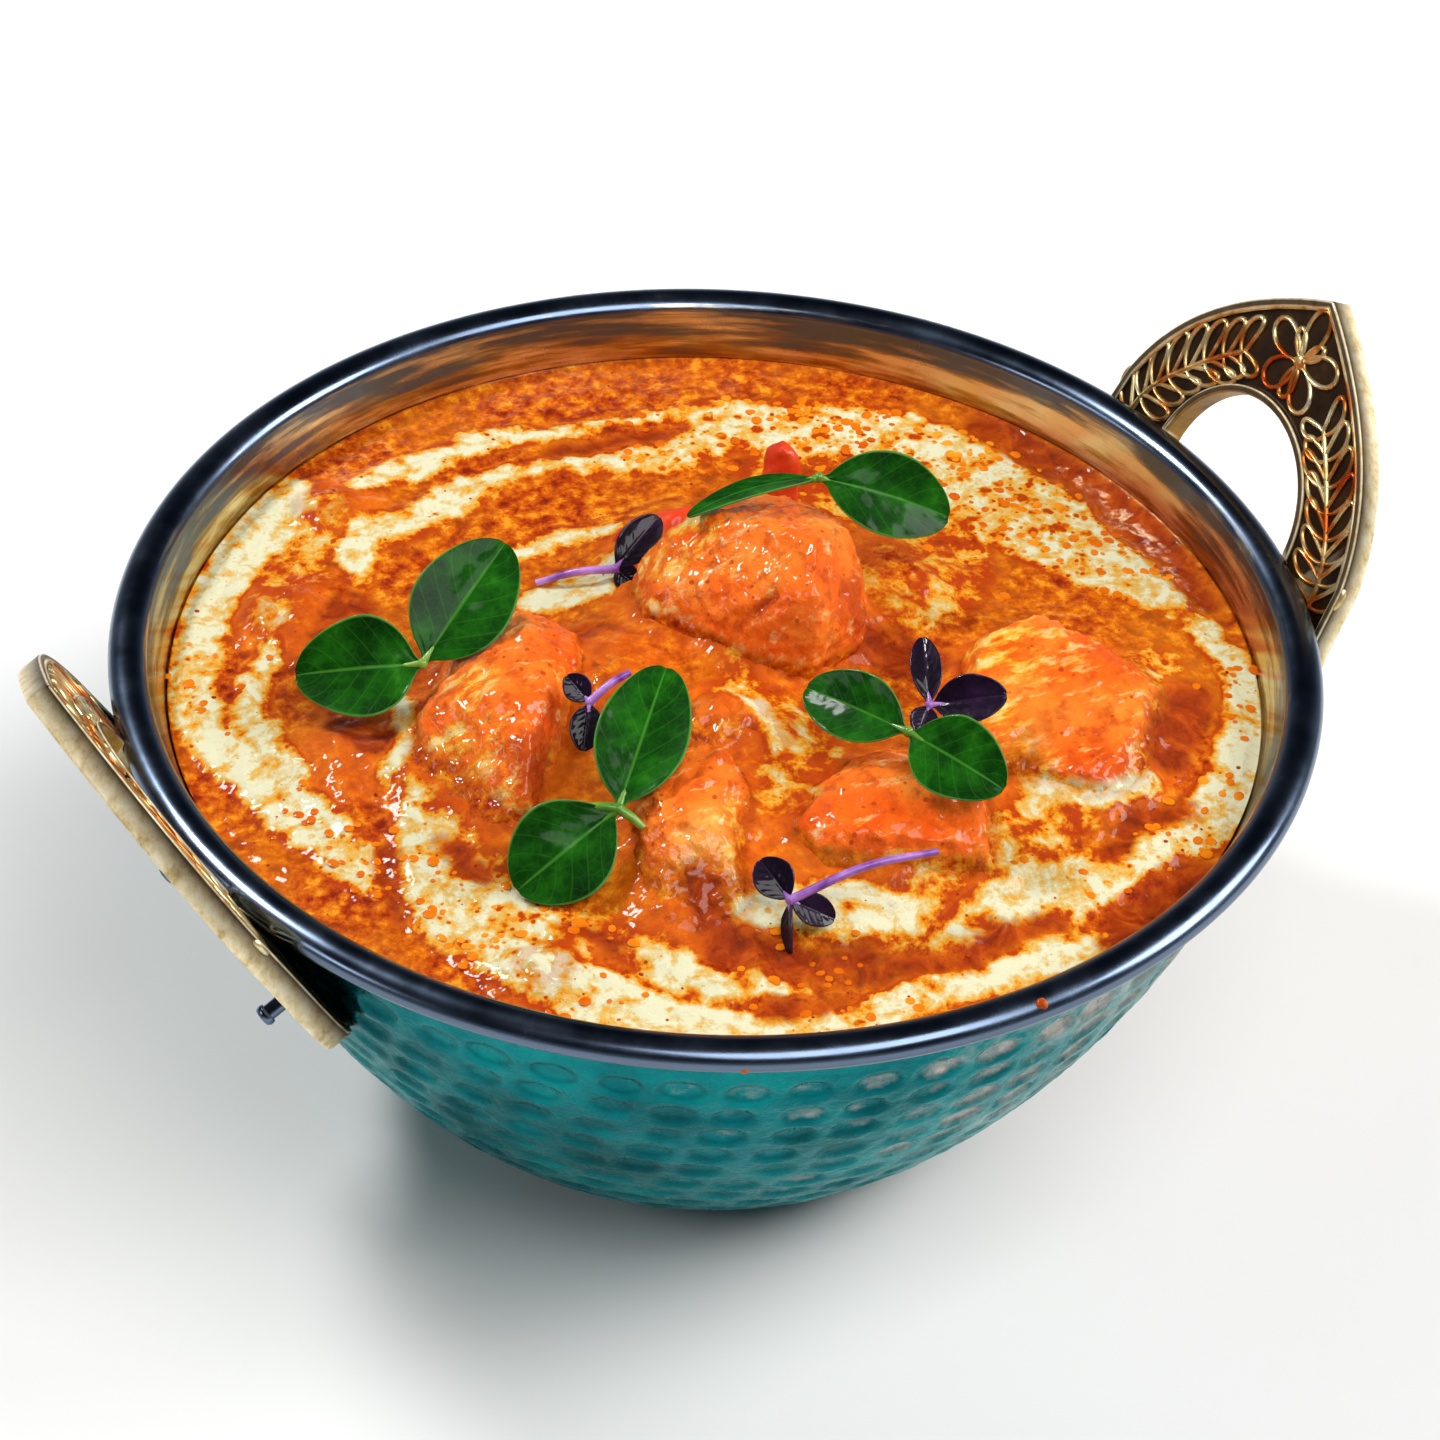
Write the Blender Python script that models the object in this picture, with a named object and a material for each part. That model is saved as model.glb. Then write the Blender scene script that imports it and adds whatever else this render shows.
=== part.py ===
import math
import random

import bmesh
import bpy
from mathutils import Matrix, Vector, noise

mm = 0.001

# Bowl: a steel liner with a rolled rim, set in a hammered shell.
segments = 40
gap = 0.3 * mm
rim_radius = 75 * mm
rim_height = 65 * mm
bead_half_width = 2.4 * mm
bead_half_height = 1.8 * mm
bead_radius = rim_radius - bead_half_width
shell_top_radius = 70.6 * mm
shell_top_drop = 2.6 * mm
neck_drop = 3.2 * mm
base_radius = 30.6 * mm
base_inset_share = 0.4
foot_radius = 28 * mm
foot_height = 0.7 * mm
belly = 1.4
shell_thickness = 1.0 * mm
liner_thickness = 0.9 * mm
liner_outer_inset = shell_thickness + gap
liner_inner_inset = liner_outer_inset + liner_thickness
sauce_inset = liner_inner_inset + gap
wall_steps = 4

# Curry: the sauce stands this far below the middle of the rim, and heaps up round the chicken.
sauce_drop = 6.5 * mm
sauce_level = rim_height - sauce_drop
sauce_rings = 6
sauce_crown = 1.2 * mm
heap_share = 0.28
reach_factor = 1.2

# Chunks: how many slanted planes press each one flat, how hard their edges are, how lumpy the skin is.
chunk_facets = 6
chunk_hardness = 7
chunk_lumps = 0.10
lump_frequency = 1.6

# Handles: cast brass plates with a round finger hole, one on each side, riveted to the shell.
plate_thickness = 3.3 * mm
plate_bevel = 0.35 * mm
plate_tip = 30.1 * mm
plate_bottom = -25.5 * mm
arch_foot = (26 * mm, 3 * mm)
arch_pull = (22.2 * mm, 19.1 * mm)
arch_steps = 7
hole_radius = 14.2 * mm
hole_height = -0.65 * mm
hole_segments = 22
rivet_spread = 14 * mm
rivet_height = -21 * mm
rivet_radius = 1.0 * mm
rivet_head_radius = 1.35 * mm
rivet_head_length = 1.2 * mm
rivet_head_round = 0.4 * mm
rivet_reach = 4.6 * mm
rivet_segments = 8

# Garnish blades, most of them tilted towards the side the dish is seen from.
blade_stations = 6
blade_thickness = 0.5 * mm
blade_cup = 0.15
stem_half_width = 0.5 * mm
toward_view = (-0.30, -0.55, 0.78)

for old in list(bpy.data.objects):
    bpy.data.objects.remove(old, do_unlink=True)

bowl = bpy.data.objects.new("curry_bowl", None)
bpy.context.scene.collection.objects.link(bowl)


def material(name, colour, roughness, metallic=0.0):
    made = bpy.data.materials.get(name)
    if made:
        return made
    made = bpy.data.materials.new(name)
    made.use_nodes = True
    surface = made.node_tree.nodes["Principled BSDF"]
    surface.inputs["Base Color"].default_value = (*colour, 1.0)
    surface.inputs["Roughness"].default_value = roughness
    surface.inputs["Metallic"].default_value = metallic
    return made


steel = material("stainless_steel", (0.42, 0.45, 0.50), 0.18, 1.0)
hammered = material("hammered_metal", (0.02, 0.28, 0.30), 0.25, 1.0)
brass = material("cast_brass", (0.55, 0.36, 0.14), 0.35, 1.0)
curry = material("curry_sauce", (0.85, 0.27, 0.05), 0.25)
meat = material("coated_chicken", (0.86, 0.20, 0.04), 0.3)
pepper = material("red_pepper", (0.75, 0.06, 0.02), 0.25)
green = material("green_leaf", (0.02, 0.16, 0.02), 0.4)
purple = material("purple_leaf", (0.05, 0.01, 0.05), 0.4)


def keep(name, shape, finish, smooth_below=50):
    # Turns an edited shape into a named object under the bowl.
    bmesh.ops.recalc_face_normals(shape, faces=shape.faces)
    mesh = bpy.data.meshes.new(name)
    shape.to_mesh(mesh)
    shape.free()
    mesh.shade_smooth()
    mesh.set_sharp_from_angle(angle=math.radians(smooth_below))
    mesh.materials.append(finish)
    made = bpy.data.objects.new(name, mesh)
    bpy.context.scene.collection.objects.link(made)
    made.parent = bowl
    return made


def hide_cutter(made):
    made.hide_render = True
    made.display_type = "WIRE"
    return made


def combine(made, other, operation="DIFFERENCE"):
    step = made.modifiers.new(f"{operation.lower()} {other.name}", "BOOLEAN")
    step.operation = operation
    step.solver = "EXACT"
    step.object = other


def turned(profile, steps):
    # Spins a closed outline of (radius, height) points round Z. Points on the axis become one vertex.
    shape = bmesh.new()
    rings = []
    for radius, height in profile:
        if radius < 0.01 * mm:
            rings.append([shape.verts.new((0, 0, height))] * steps)
            continue
        ring = []
        for step in range(steps):
            angle = math.tau * (step + 0.5) / steps
            ring.append(shape.verts.new((radius * math.cos(angle), radius * math.sin(angle), height)))
        rings.append(ring)
    for first, second in zip(rings, rings[1:] + rings[:1]):
        for step in range(steps):
            after = (step + 1) % steps
            corners = []
            for vert in (first[step], first[after], second[after], second[step]):
                if vert not in corners:
                    corners.append(vert)
            if len(corners) > 2:
                shape.faces.new(corners)
    return shape


def wall_point(turn, inset):
    # The bowl's side as a superellipse quarter: turn 0 is the rim, turn 1 the base.
    power = 2 / belly
    angle = turn * math.pi / 2
    lower_radius = base_radius - base_inset_share * inset
    upper_radius = shell_top_radius - inset
    depth = rim_height - foot_height - inset
    radius = lower_radius + (upper_radius - lower_radius) * math.cos(angle) ** power
    drop = depth * math.sin(angle) ** power
    return radius, rim_height - drop


def turn_at_drop(drop, inset):
    share = drop / (rim_height - foot_height - inset)
    return math.asin(share ** (belly / 2)) * 2 / math.pi


def wall(drop, inset):
    # Points down the side from a given drop below the rim to the edge of the flat base. Below the
    # sauce's edge every skin bends at the same turns, so that nested skins stay a gap apart.
    start = turn_at_drop(drop, inset)
    edge = turn_at_drop(sauce_drop, sauce_inset)
    turns = [edge + (1 - edge) * step / wall_steps for step in range(wall_steps + 1)]
    if start < 0.9 * edge:
        turns.insert(0, start)
    return [wall_point(min(turn, 1), inset) for turn in turns]


def bead_arc(first, last, steps, grow=0.0):
    # Part of the rolled rim's oval section, by angle: 0 is outermost, 90 the top.
    points = []
    for step in range(steps + 1):
        angle = math.radians(first + (last - first) * step / steps)
        radius = bead_radius + (bead_half_width + grow) * math.cos(angle)
        height = rim_height + (bead_half_height + grow) * math.sin(angle)
        points.append((radius, height))
    return points


def make_shell():
    outer = wall(shell_top_drop, 0)
    inner = wall(shell_top_drop, shell_thickness)
    foot = [(foot_radius, foot_height), (foot_radius, 0), (0, 0)]
    floor = [(0, foot_height + shell_thickness)]
    shape = turned(outer + foot + floor + inner[::-1], segments)
    return keep("hammered_shell", shape, hammered)


def make_liner():
    # The liner's edge flares out over the shell and rolls into the bead.
    inner = wall(neck_drop, liner_inner_inset)
    outer = wall(shell_top_drop - 2 * gap, liner_outer_inset)
    floor = [(0, inner[-1][1]), (0, outer[-1][1])]
    bead = bead_arc(-128, 180, 8)
    shape = turned(bead + inner + floor + outer[::-1], segments)
    return keep("steel_liner", shape, steel)


def make_bowl_clearance():
    # The bowl's whole outer form, one gap larger, which trims whatever is fixed to its side.
    outer = [(radius + gap, height) for radius, height in wall(shell_top_drop, 0)]
    top = rim_height + bead_half_height + gap
    bead = bead_arc(-140, 90, 9, gap)
    shape = turned([(0, top)] + bead[::-1] + outer + [(0, outer[-1][1])], segments)
    return hide_cutter(keep("bowl_clearance", shape, steel))


def plate_outline():
    # Half of the ogival plate, from the middle of its foot up its side to the tip: (across, up).
    side = [
        (0, plate_bottom),
        (18 * mm, plate_bottom),
        (23.4 * mm, -22.5 * mm),
        (27.6 * mm, -15.5 * mm),
        (26.4 * mm, -6 * mm),
    ]
    for step in range(arch_steps):
        t = step / arch_steps
        across = (1 - t) ** 2 * arch_foot[0] + 2 * t * (1 - t) * arch_pull[0]
        up = (1 - t) ** 2 * arch_foot[1] + 2 * t * (1 - t) * arch_pull[1] + t * t * plate_tip
        side.append((across, up))
    return side + [(0, plate_tip)]


def make_handle(name, side, reach, lean):
    # Side is the turn round the bowl from +X, in degrees. Local X points outward, Y across, Z up the plate.
    half = plate_outline()
    outline = half + [(-across, up) for across, up in half[-2:0:-1]]
    shape = bmesh.new()
    face = shape.faces.new([shape.verts.new((0, across, up)) for across, up in outline])
    pushed = bmesh.ops.extrude_face_region(shape, geom=[face])
    moved = [item for item in pushed["geom"] if isinstance(item, bmesh.types.BMVert)]
    bmesh.ops.translate(shape, verts=moved, vec=(plate_thickness, 0, 0))
    handle = keep(name, shape, brass, 35)
    middle = Matrix.Rotation(math.radians(side), 4, "Z")
    handle.matrix_world = middle @ Matrix.Translation((reach, 0, rim_height)) @ Matrix.Rotation(
        math.radians(lean), 4, "Y")
    soften = handle.modifiers.new("edge", "BEVEL")
    soften.width = plate_bevel
    soften.segments = 1
    soften.limit_method = "ANGLE"
    soften.angle_limit = math.radians(50)
    punch(handle, name + "_hole", 0, hole_height, hole_radius, hole_segments)
    for index, across in enumerate((-rivet_spread, rivet_spread)):
        punch(handle, f"{name}_bore_{index}", across, rivet_height, rivet_radius + gap, rivet_segments)
        rivet = make_rivet(f"{name}_rivet_{index + 1}")
        rivet.matrix_world = handle.matrix_world @ Matrix.Translation(
            (0, across, rivet_height)) @ Matrix.Rotation(math.pi / 2, 4, "Y")
        combine(rivet, bowl_clearance)
    combine(handle, bowl_clearance)
    return handle


def punch(handle, name, across, up, radius, steps):
    # Cuts a round hole straight through the plate.
    margin = plate_thickness
    length = plate_thickness + 2 * margin
    shape = turned([(0, 0), (radius, 0), (radius, length), (0, length)], steps)
    cutter = hide_cutter(keep(name, shape, brass))
    cutter.matrix_world = handle.matrix_world @ Matrix.Translation(
        (-margin, across, up)) @ Matrix.Rotation(math.pi / 2, 4, "Y")
    combine(handle, cutter)


def make_rivet(name):
    end = plate_thickness + rivet_reach
    neck = end - rivet_head_length
    profile = [
        (0, 0),
        (rivet_radius, 0),
        (rivet_radius, neck),
        (rivet_head_radius, neck),
        (rivet_head_radius, end - rivet_head_round),
        (rivet_radius, end),
        (0, end),
    ]
    return keep(name, turned(profile, rivet_segments), steel, 30)


def chunk_shape(piece, grow=0.0):
    # A cut chunk of meat: a ball pressed flat by seeded planes, with soft edges and a lumpy skin.
    rng = random.Random(piece["seed"])
    planes = [(Vector(axis) * sign, 1.0) for axis in ((1, 0, 0), (0, 1, 0), (0, 0, 1)) for sign in (1, -1)]
    for _ in range(chunk_facets):
        way = Vector((rng.uniform(-1, 1), rng.uniform(-1, 1), rng.uniform(-0.2, 1))).normalized()
        planes.append((way, rng.uniform(0.86, 1.08)))
    shape = bmesh.new()
    if piece.get("small"):
        bmesh.ops.create_icosphere(shape, subdivisions=2, radius=1)
    else:
        bmesh.ops.create_uvsphere(shape, u_segments=12, v_segments=8, radius=1)
    size = Vector(piece["size"]) * mm
    place = chunk_place(piece)
    for vert in shape.verts:
        way = vert.co.normalized()
        load = sum(max(0.0, way.dot(normal) / reach) ** chunk_hardness for normal, reach in planes)
        point = way * load ** (-1 / chunk_hardness)
        field = point * lump_frequency + Vector((piece["seed"], 0, 0))
        point *= 1 + chunk_lumps * noise.noise(field)
        vert.co = place @ Vector((point.x * size.x, point.y * size.y, point.z * size.z))
    bmesh.ops.triangulate(shape, faces=shape.faces)
    shape.normal_update()
    if grow:
        moves = [vert.normal * grow for vert in shape.verts]
        for vert, move in zip(shape.verts, moves):
            vert.co += move
    return shape


def chunk_place(piece):
    x, y = piece["at"]
    centre = Vector((x * mm, y * mm, sauce_level + piece["lift"] * mm))
    tip_x, tip_y = piece.get("tilt", (0, 0))
    turn = Matrix.Rotation(math.radians(piece["turn"]), 4, "Z")
    tilt = Matrix.Rotation(math.radians(tip_x), 4, "X") @ Matrix.Rotation(math.radians(tip_y), 4, "Y")
    return Matrix.Translation(centre) @ turn @ tilt


# Chicken and pepper: place from the bowl's axis, lift of the middle above the sauce, half sizes, all in mm.
pieces = [
    {"name": "chicken_back", "at": (7.2, 7.6), "lift": 3.0, "size": (14.8, 15.4, 18.0), "turn": -29,
     "tilt": (-6, 5), "seed": 11},
    {"name": "chicken_left", "at": (-31.0, -4.4), "lift": 0.5, "size": (12.6, 21.5, 12.4), "turn": -46,
     "tilt": (6, 14), "seed": 4},
    {"name": "chicken_front", "at": (-19.0, -30.0), "lift": 0.0, "size": (9.8, 14.0, 11.0), "turn": -20,
     "tilt": (6, 0), "seed": 8},
    {"name": "chicken_front_right", "at": (3.6, -36.8), "lift": 0.0, "size": (12.2, 13.2, 12.2),
     "turn": -52, "tilt": (4, 24), "seed": 21},
    {"name": "chicken_right", "at": (35.4, -29.4), "lift": -0.5, "size": (16.4, 17.0, 9.8), "turn": -32,
     "tilt": (0, 6), "seed": 15},
    {"name": "chicken_middle", "at": (-5.0, -17.8), "lift": 0.8, "size": (8.2, 8.6, 9.0), "turn": -29,
     "seed": 5},
    {"name": "chicken_inner", "at": (-17.0, -2.4), "lift": 1.2, "size": (6.4, 11.0, 8.6), "turn": -50,
     "seed": 9, "small": True},
    {"name": "chicken_back_right", "at": (27.0, 5.5), "lift": -1.0, "size": (7.0, 9.5, 7.4), "turn": -20,
     "seed": 13, "small": True},
    {"name": "chicken_far_left", "at": (-43.8, 31.0), "lift": -1.6, "size": (5.6, 7.0, 5.0), "turn": -10,
     "seed": 3, "small": True},
    {"name": "chicken_near_left", "at": (-48.0, 3.0), "lift": -1.4, "size": (5.6, 6.4, 5.4), "turn": 0,
     "seed": 6, "small": True},
    {"name": "chicken_corner", "at": (-41.5, -39.5), "lift": -1.4, "size": (4.8, 5.4, 4.8), "turn": 20,
     "seed": 7, "small": True},
    {"name": "chicken_back_left", "at": (-29.0, 51.0), "lift": -1.4, "size": (4.4, 5.0, 4.8), "turn": 35,
     "seed": 10, "small": True},
    {"name": "red_pepper_tip", "at": (21.4, 24.4), "lift": 6.5, "size": (2.6, 1.7, 9.5), "turn": -29,
     "tilt": (0, 6), "seed": 2, "small": True},
    {"name": "red_pepper_strip", "at": (5.0, 24.2), "lift": 3.2, "size": (7.5, 3.0, 6.0), "turn": -16,
     "tilt": (0, -12), "seed": 12, "small": True},
]


def make_pieces():
    # Each chunk is trimmed by the ones before it that it leans on, so that they touch without overlap.
    # All their clearances together are the room that the sauce leaves.
    made = []
    room = hide_cutter(keep("chicken_room", chunk_shape(pieces[0], gap), meat))
    for piece in pieces:
        finish = pepper if piece["name"].startswith("red_pepper") else meat
        chunk = keep(piece["name"], chunk_shape(piece), finish)
        clearance = hide_cutter(keep(piece["name"] + "_clearance", chunk_shape(piece, gap), finish))
        for other, other_clearance in made:
            apart = Vector(piece["at"]) - Vector(other["at"])
            if apart.length < reach_factor * (max(piece["size"][:2]) + max(other["size"][:2])):
                combine(chunk, other_clearance)
        if made:
            combine(room, clearance, "UNION")
        made.append((piece, clearance))
    return room


def sauce_height(x, y):
    # The sauce is level at the wall, a little crowned, and heaps round each chunk.
    spread = math.hypot(x, y) / rim_radius
    height = sauce_level + sauce_crown * max(0, 1 - spread ** 4)
    for piece in pieces:
        middle = Vector(piece["at"]) * mm
        reach = (piece["size"][0] + piece["size"][1]) / 2 * mm
        near = (Vector((x, y)) - middle).length / reach
        rise = heap_share * (piece["size"][2] + piece["lift"]) * mm
        height += rise * math.exp(-(near ** 2) / 1.3) * max(0, 1 - spread ** 8)
    return height


def make_sauce(room):
    side = wall(sauce_drop, sauce_inset)
    edge = side[0][0]
    shape = turned([(0, sauce_level)] + [
        (edge * step / sauce_rings, sauce_level) for step in range(1, sauce_rings)] + side + [
        (0, side[-1][1])], segments)
    for vert in shape.verts:
        if abs(vert.co.z - sauce_level) < 0.01 * mm and math.hypot(*vert.co.xy) < edge - 0.1 * mm:
            vert.co.z = sauce_height(vert.co.x, vert.co.y)
    bmesh.ops.triangulate(shape, faces=shape.faces)
    sauce = keep("curry_sauce", shape, curry)
    combine(sauce, room)


def blade_half_width(along, blade):
    # Half width of a leaf at a share of its length: a stalk, a broad middle and a blunt tip.
    stalk = blade.get("stalk", 0.12)
    body = (along - stalk) / (1 - stalk)
    if not 0 < body < 1:
        return 0.0
    return blade["width"] / 2 * mm * math.sin(math.pi * body ** 0.85) ** 0.75


def blade_rows(root, blade, first=1):
    # Cross rows of one leaf or stem from its root to its tip: (left, middle, right, normal).
    axis = Vector(blade["tip"]) * mm + Vector((0, 0, sauce_level)) - root
    across = Vector(blade.get("facing", toward_view)).cross(axis).normalized()
    normal = axis.cross(across).normalized()
    rows = []
    for station in range(first, blade_stations + 1):
        along = min(station / blade_stations, 0.985)
        half = max(stem_half_width, blade_half_width(along, blade))
        bow = blade.get("bow", 0.0) * mm * 4 * along * (1 - along)
        middle = root + axis * along + normal * bow
        lift = normal * half * blade_cup
        rows.append((middle - across * half + lift, middle, middle + across * half + lift, normal))
    return rows


def turned_over(rows):
    return [(right, middle, left, -normal) for left, middle, right, normal in rows]


def strip_shape(rows, folded):
    # Skins rows into one thin closed blade. A folded blade has a rib along its middle.
    shape = bmesh.new()
    rings = []
    for left, middle, right, normal in rows:
        top = (left, middle, right) if folded else (left, right)
        ring = list(top) + [point - normal * blade_thickness for point in top[::-1]]
        rings.append([shape.verts.new(point) for point in ring])
    for first, second in zip(rings, rings[1:]):
        for index in range(len(first)):
            after = (index + 1) % len(first)
            shape.faces.new((first[index], first[after], second[after], second[index]))
    shape.faces.new(rings[0])
    shape.faces.new(rings[-1])
    bmesh.ops.triangulate(shape, faces=shape.faces)
    return shape


def make_sprig(sprig, finish, folded):
    # The first two blades are one strip from tip to tip. Further blades and stems are joined at its root.
    name = sprig["name"]
    root = Vector(sprig["joint"]) * mm + Vector((0, 0, sauce_level))
    first, second, *others = sprig["blades"]
    back = blade_rows(root, first)[::-1]
    ahead = blade_rows(root, second)
    if back[-1][3].dot(ahead[0][3]) < 0:
        back = turned_over(back)
    back = [(right, middle, left, normal) for left, middle, right, normal in back]
    made = keep(name, strip_shape(back + ahead, folded), finish, 60)
    for index, blade in enumerate(others):
        shape = strip_shape(blade_rows(root, blade, -1), folded)
        arm = hide_cutter(keep(f"{name}_arm_{index + 1}", shape, finish))
        combine(made, arm, "UNION")


# Garnish: joints and tips are places from the bowl's axis and heights above the sauce, in mm.
green_sprigs = [
    {"name": "leaf_sprig_left", "joint": (-36.6, 7.4, 10.3), "blades": [
        {"tip": (-50.4, 14.2, 8.1), "width": 12.6},
        {"tip": (-22.0, 15.0, 18.8), "width": 12.6}]},
    {"name": "leaf_sprig_back", "joint": (18.9, 10.4, 19.2), "blades": [
        {"tip": (33.9, 3.0, 13.4), "width": 10.8},
        {"tip": (0.8, 10.9, 18.6), "width": 6.0, "facing": (0.1, 0.25, 0.95), "bow": 1.3}]},
    {"name": "leaf_sprig_front", "joint": (-26.8, -26.4, 10.4), "blades": [
        {"tip": (-13.5, -12.0, 16.6), "width": 11.0},
        {"tip": (-40.4, -27.6, 3.6), "width": 12.4}]},
    {"name": "leaf_sprig_right", "joint": (8.4, -32.4, 14.5), "blades": [
        {"tip": (1.8, -19.0, 13.4), "width": 8.8},
        {"tip": (14.8, -44.3, 12.6), "width": 10.2}]},
]
microgreens = [
    {"name": "microgreen_back", "joint": (-5.0, 18.6, 6.5), "blades": [
        {"tip": (2.2, 20.8, 11.0), "width": 4.6},
        {"tip": (-13.4, 23.6, 3.4), "width": 0, "bow": 0.6}]},
    {"name": "microgreen_left", "joint": (-22.0, -8.8, 11.6), "blades": [
        {"tip": (-23.6, -5.6, 13.8), "width": 3.2},
        {"tip": (-25.0, -13.4, 8.6), "width": 3.8},
        {"tip": (-16.4, -8.2, 13.8), "width": 0, "bow": 0.5}]},
    {"name": "microgreen_right", "joint": (15.6, -25.2, 10.6), "blades": [
        {"tip": (18.8, -17.2, 14.2), "width": 3.6},
        {"tip": (23.2, -30.2, 13.4), "width": 6.0},
        {"tip": (12.6, -28.0, 9.4), "width": 3.2}]},
    {"name": "microgreen_front", "joint": (-14.0, -45.6, 7.0), "blades": [
        {"tip": (-15.4, -40.4, 9.6), "width": 4.6},
        {"tip": (-15.8, -49.4, 2.4), "width": 2.6, "facing": (-1.0, 0.2, 0.3)},
        {"tip": (-9.4, -48.4, 4.6), "width": 3.6},
        {"tip": (3.8, -48.4, 10.2), "width": 0, "bow": 1.4}]},
]

make_shell()
make_liner()
bowl_clearance = make_bowl_clearance()
make_handle("handle_right", 0, 72.8 * mm, 26.4)
make_handle("handle_left", 182, 72.6 * mm, 30)
make_sauce(make_pieces())
for sprig in green_sprigs:
    make_sprig(sprig, green, True)
for sprig in microgreens:
    make_sprig(sprig, purple, False)
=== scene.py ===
import math
import random

import bpy
import numpy as np
from mathutils import Matrix, Vector, noise
from mathutils.bvhtree import BVHTree


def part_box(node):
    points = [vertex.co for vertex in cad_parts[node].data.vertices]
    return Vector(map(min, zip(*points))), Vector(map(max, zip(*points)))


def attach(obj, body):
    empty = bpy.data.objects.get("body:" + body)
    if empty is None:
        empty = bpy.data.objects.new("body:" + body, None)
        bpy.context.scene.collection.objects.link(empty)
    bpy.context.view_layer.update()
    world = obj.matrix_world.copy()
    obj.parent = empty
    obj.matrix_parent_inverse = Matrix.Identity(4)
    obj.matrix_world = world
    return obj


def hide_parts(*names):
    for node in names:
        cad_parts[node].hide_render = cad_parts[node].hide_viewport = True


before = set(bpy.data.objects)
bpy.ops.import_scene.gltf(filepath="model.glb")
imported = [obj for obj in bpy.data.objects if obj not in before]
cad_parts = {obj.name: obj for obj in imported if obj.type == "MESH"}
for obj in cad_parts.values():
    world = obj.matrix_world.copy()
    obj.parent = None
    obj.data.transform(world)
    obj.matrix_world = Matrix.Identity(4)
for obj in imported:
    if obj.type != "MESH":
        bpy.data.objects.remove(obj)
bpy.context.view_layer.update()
mm = 0.001
scene = bpy.context.scene
print("frame loaded:", len(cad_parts), "nodes")


def clearSelection():
    if bpy.context.object and bpy.context.object.mode != "OBJECT":
        bpy.ops.object.mode_set(mode="OBJECT")
    bpy.ops.object.select_all(action="DESELECT")


def pick(piece):
    clearSelection()
    piece.select_set(True)
    bpy.context.view_layer.objects.active = piece


def settle(piece, name):
    # the finished piece sits at the origin, with its place in its mesh
    pick(piece)
    bpy.ops.object.transform_apply(location=True, rotation=True, scale=True)
    piece.name = name
    piece.data.name = name
    return piece


def applyAll(piece):
    pick(piece)
    for step in list(piece.modifiers):
        bpy.ops.object.modifier_apply(modifier=step.name)


def smooth(piece, angle):
    pick(piece)
    bpy.ops.object.shade_smooth_by_angle(angle=math.radians(angle))
    for step in list(piece.modifiers):
        bpy.ops.object.modifier_apply(modifier=step.name)


def coords(piece):
    values = np.empty(len(piece.data.vertices) * 3)
    piece.data.vertices.foreach_get("co", values)
    return values.reshape(-1, 3)


def moveTo(piece, points):
    piece.data.vertices.foreach_set("co", np.asarray(points, dtype=float).ravel())
    piece.data.update()


def normals(piece):
    values = np.empty(len(piece.data.vertices) * 3)
    piece.data.vertex_normals.foreach_get("vector", values)
    return values.reshape(-1, 3)


def paint(piece, name, values):
    layer = piece.data.attributes.new(name, "FLOAT", "POINT")
    layer.data.foreach_set("value", np.asarray(values, dtype=float))


def fit(value, low, high):
    return np.clip((value - low) / (high - low), 0, 1)


def ease(value, low, high):
    share = fit(value, low, high)
    return share * share * (3 - 2 * share)


def cloud(points, size, seed, octaves):
    # soft noise at real-size points, about -1 to 1
    shift = Vector((seed * 7.3, seed * 3.1, seed * 1.7))
    return np.array([noise.fractal(Vector(point) / size + shift, 1.0, 2.0, octaves) for point in points])


def wear(piece, finish, slotName, *nodes):
    # gives a piece its finish, its body and the solids it stands for
    piece.data.materials.clear()
    piece.data.materials.append(finish)
    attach(piece, "root")
    if nodes:
        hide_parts(*nodes)


def joinPieces(made, name):
    clearSelection()
    for piece in made:
        piece.select_set(True)
    bpy.context.view_layer.objects.active = made[0]
    bpy.ops.object.join()
    made[0].name = name
    made[0].data.name = name
    return made[0]


def turnedPiece(name, profile, steps):
    # an outline traced point by point, then spun round the bowl's axis
    clearSelection()
    radius, height = profile[0]
    bpy.ops.mesh.primitive_plane_add(size=0.01 * mm, location=(radius, 0, height))
    piece = bpy.context.object
    bpy.ops.object.mode_set(mode="EDIT")
    bpy.ops.mesh.select_mode(type="VERT")
    bpy.ops.mesh.select_all(action="SELECT")
    bpy.ops.mesh.merge(type="CENTER")
    for before, after in zip(profile, profile[1:]):
        step = (after[0] - before[0], 0, after[1] - before[1])
        bpy.ops.mesh.extrude_region_move(TRANSFORM_OT_translate={"value": step})
    bpy.ops.mesh.select_all(action="SELECT")
    bpy.ops.mesh.spin(steps=steps, angle=math.tau, center=(0, 0, 0), axis=(0, 0, 1))
    bpy.ops.mesh.select_all(action="SELECT")
    bpy.ops.mesh.remove_doubles(threshold=0.02 * mm)
    bpy.ops.mesh.normals_make_consistent(inside=False)
    bpy.ops.object.mode_set(mode="OBJECT")
    return settle(piece, name)


def tube(name, points, radii, sides=2):
    # a round stem or ridge through the points; a radius for each point
    curve = bpy.data.curves.new(name, "CURVE")
    curve.dimensions = "3D"
    curve.bevel_depth = 1.0
    curve.bevel_resolution = sides
    curve.use_fill_caps = True
    line = curve.splines.new("POLY")
    line.points.add(len(points) - 1)
    for spot, point, radius in zip(line.points, points, radii):
        spot.co = (*point, 1)
        spot.radius = radius
    made = bpy.data.objects.new(name, curve)
    scene.collection.objects.link(made)
    pick(made)
    bpy.ops.object.convert(target="MESH")
    made = bpy.context.object
    return settle(made, name)


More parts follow.
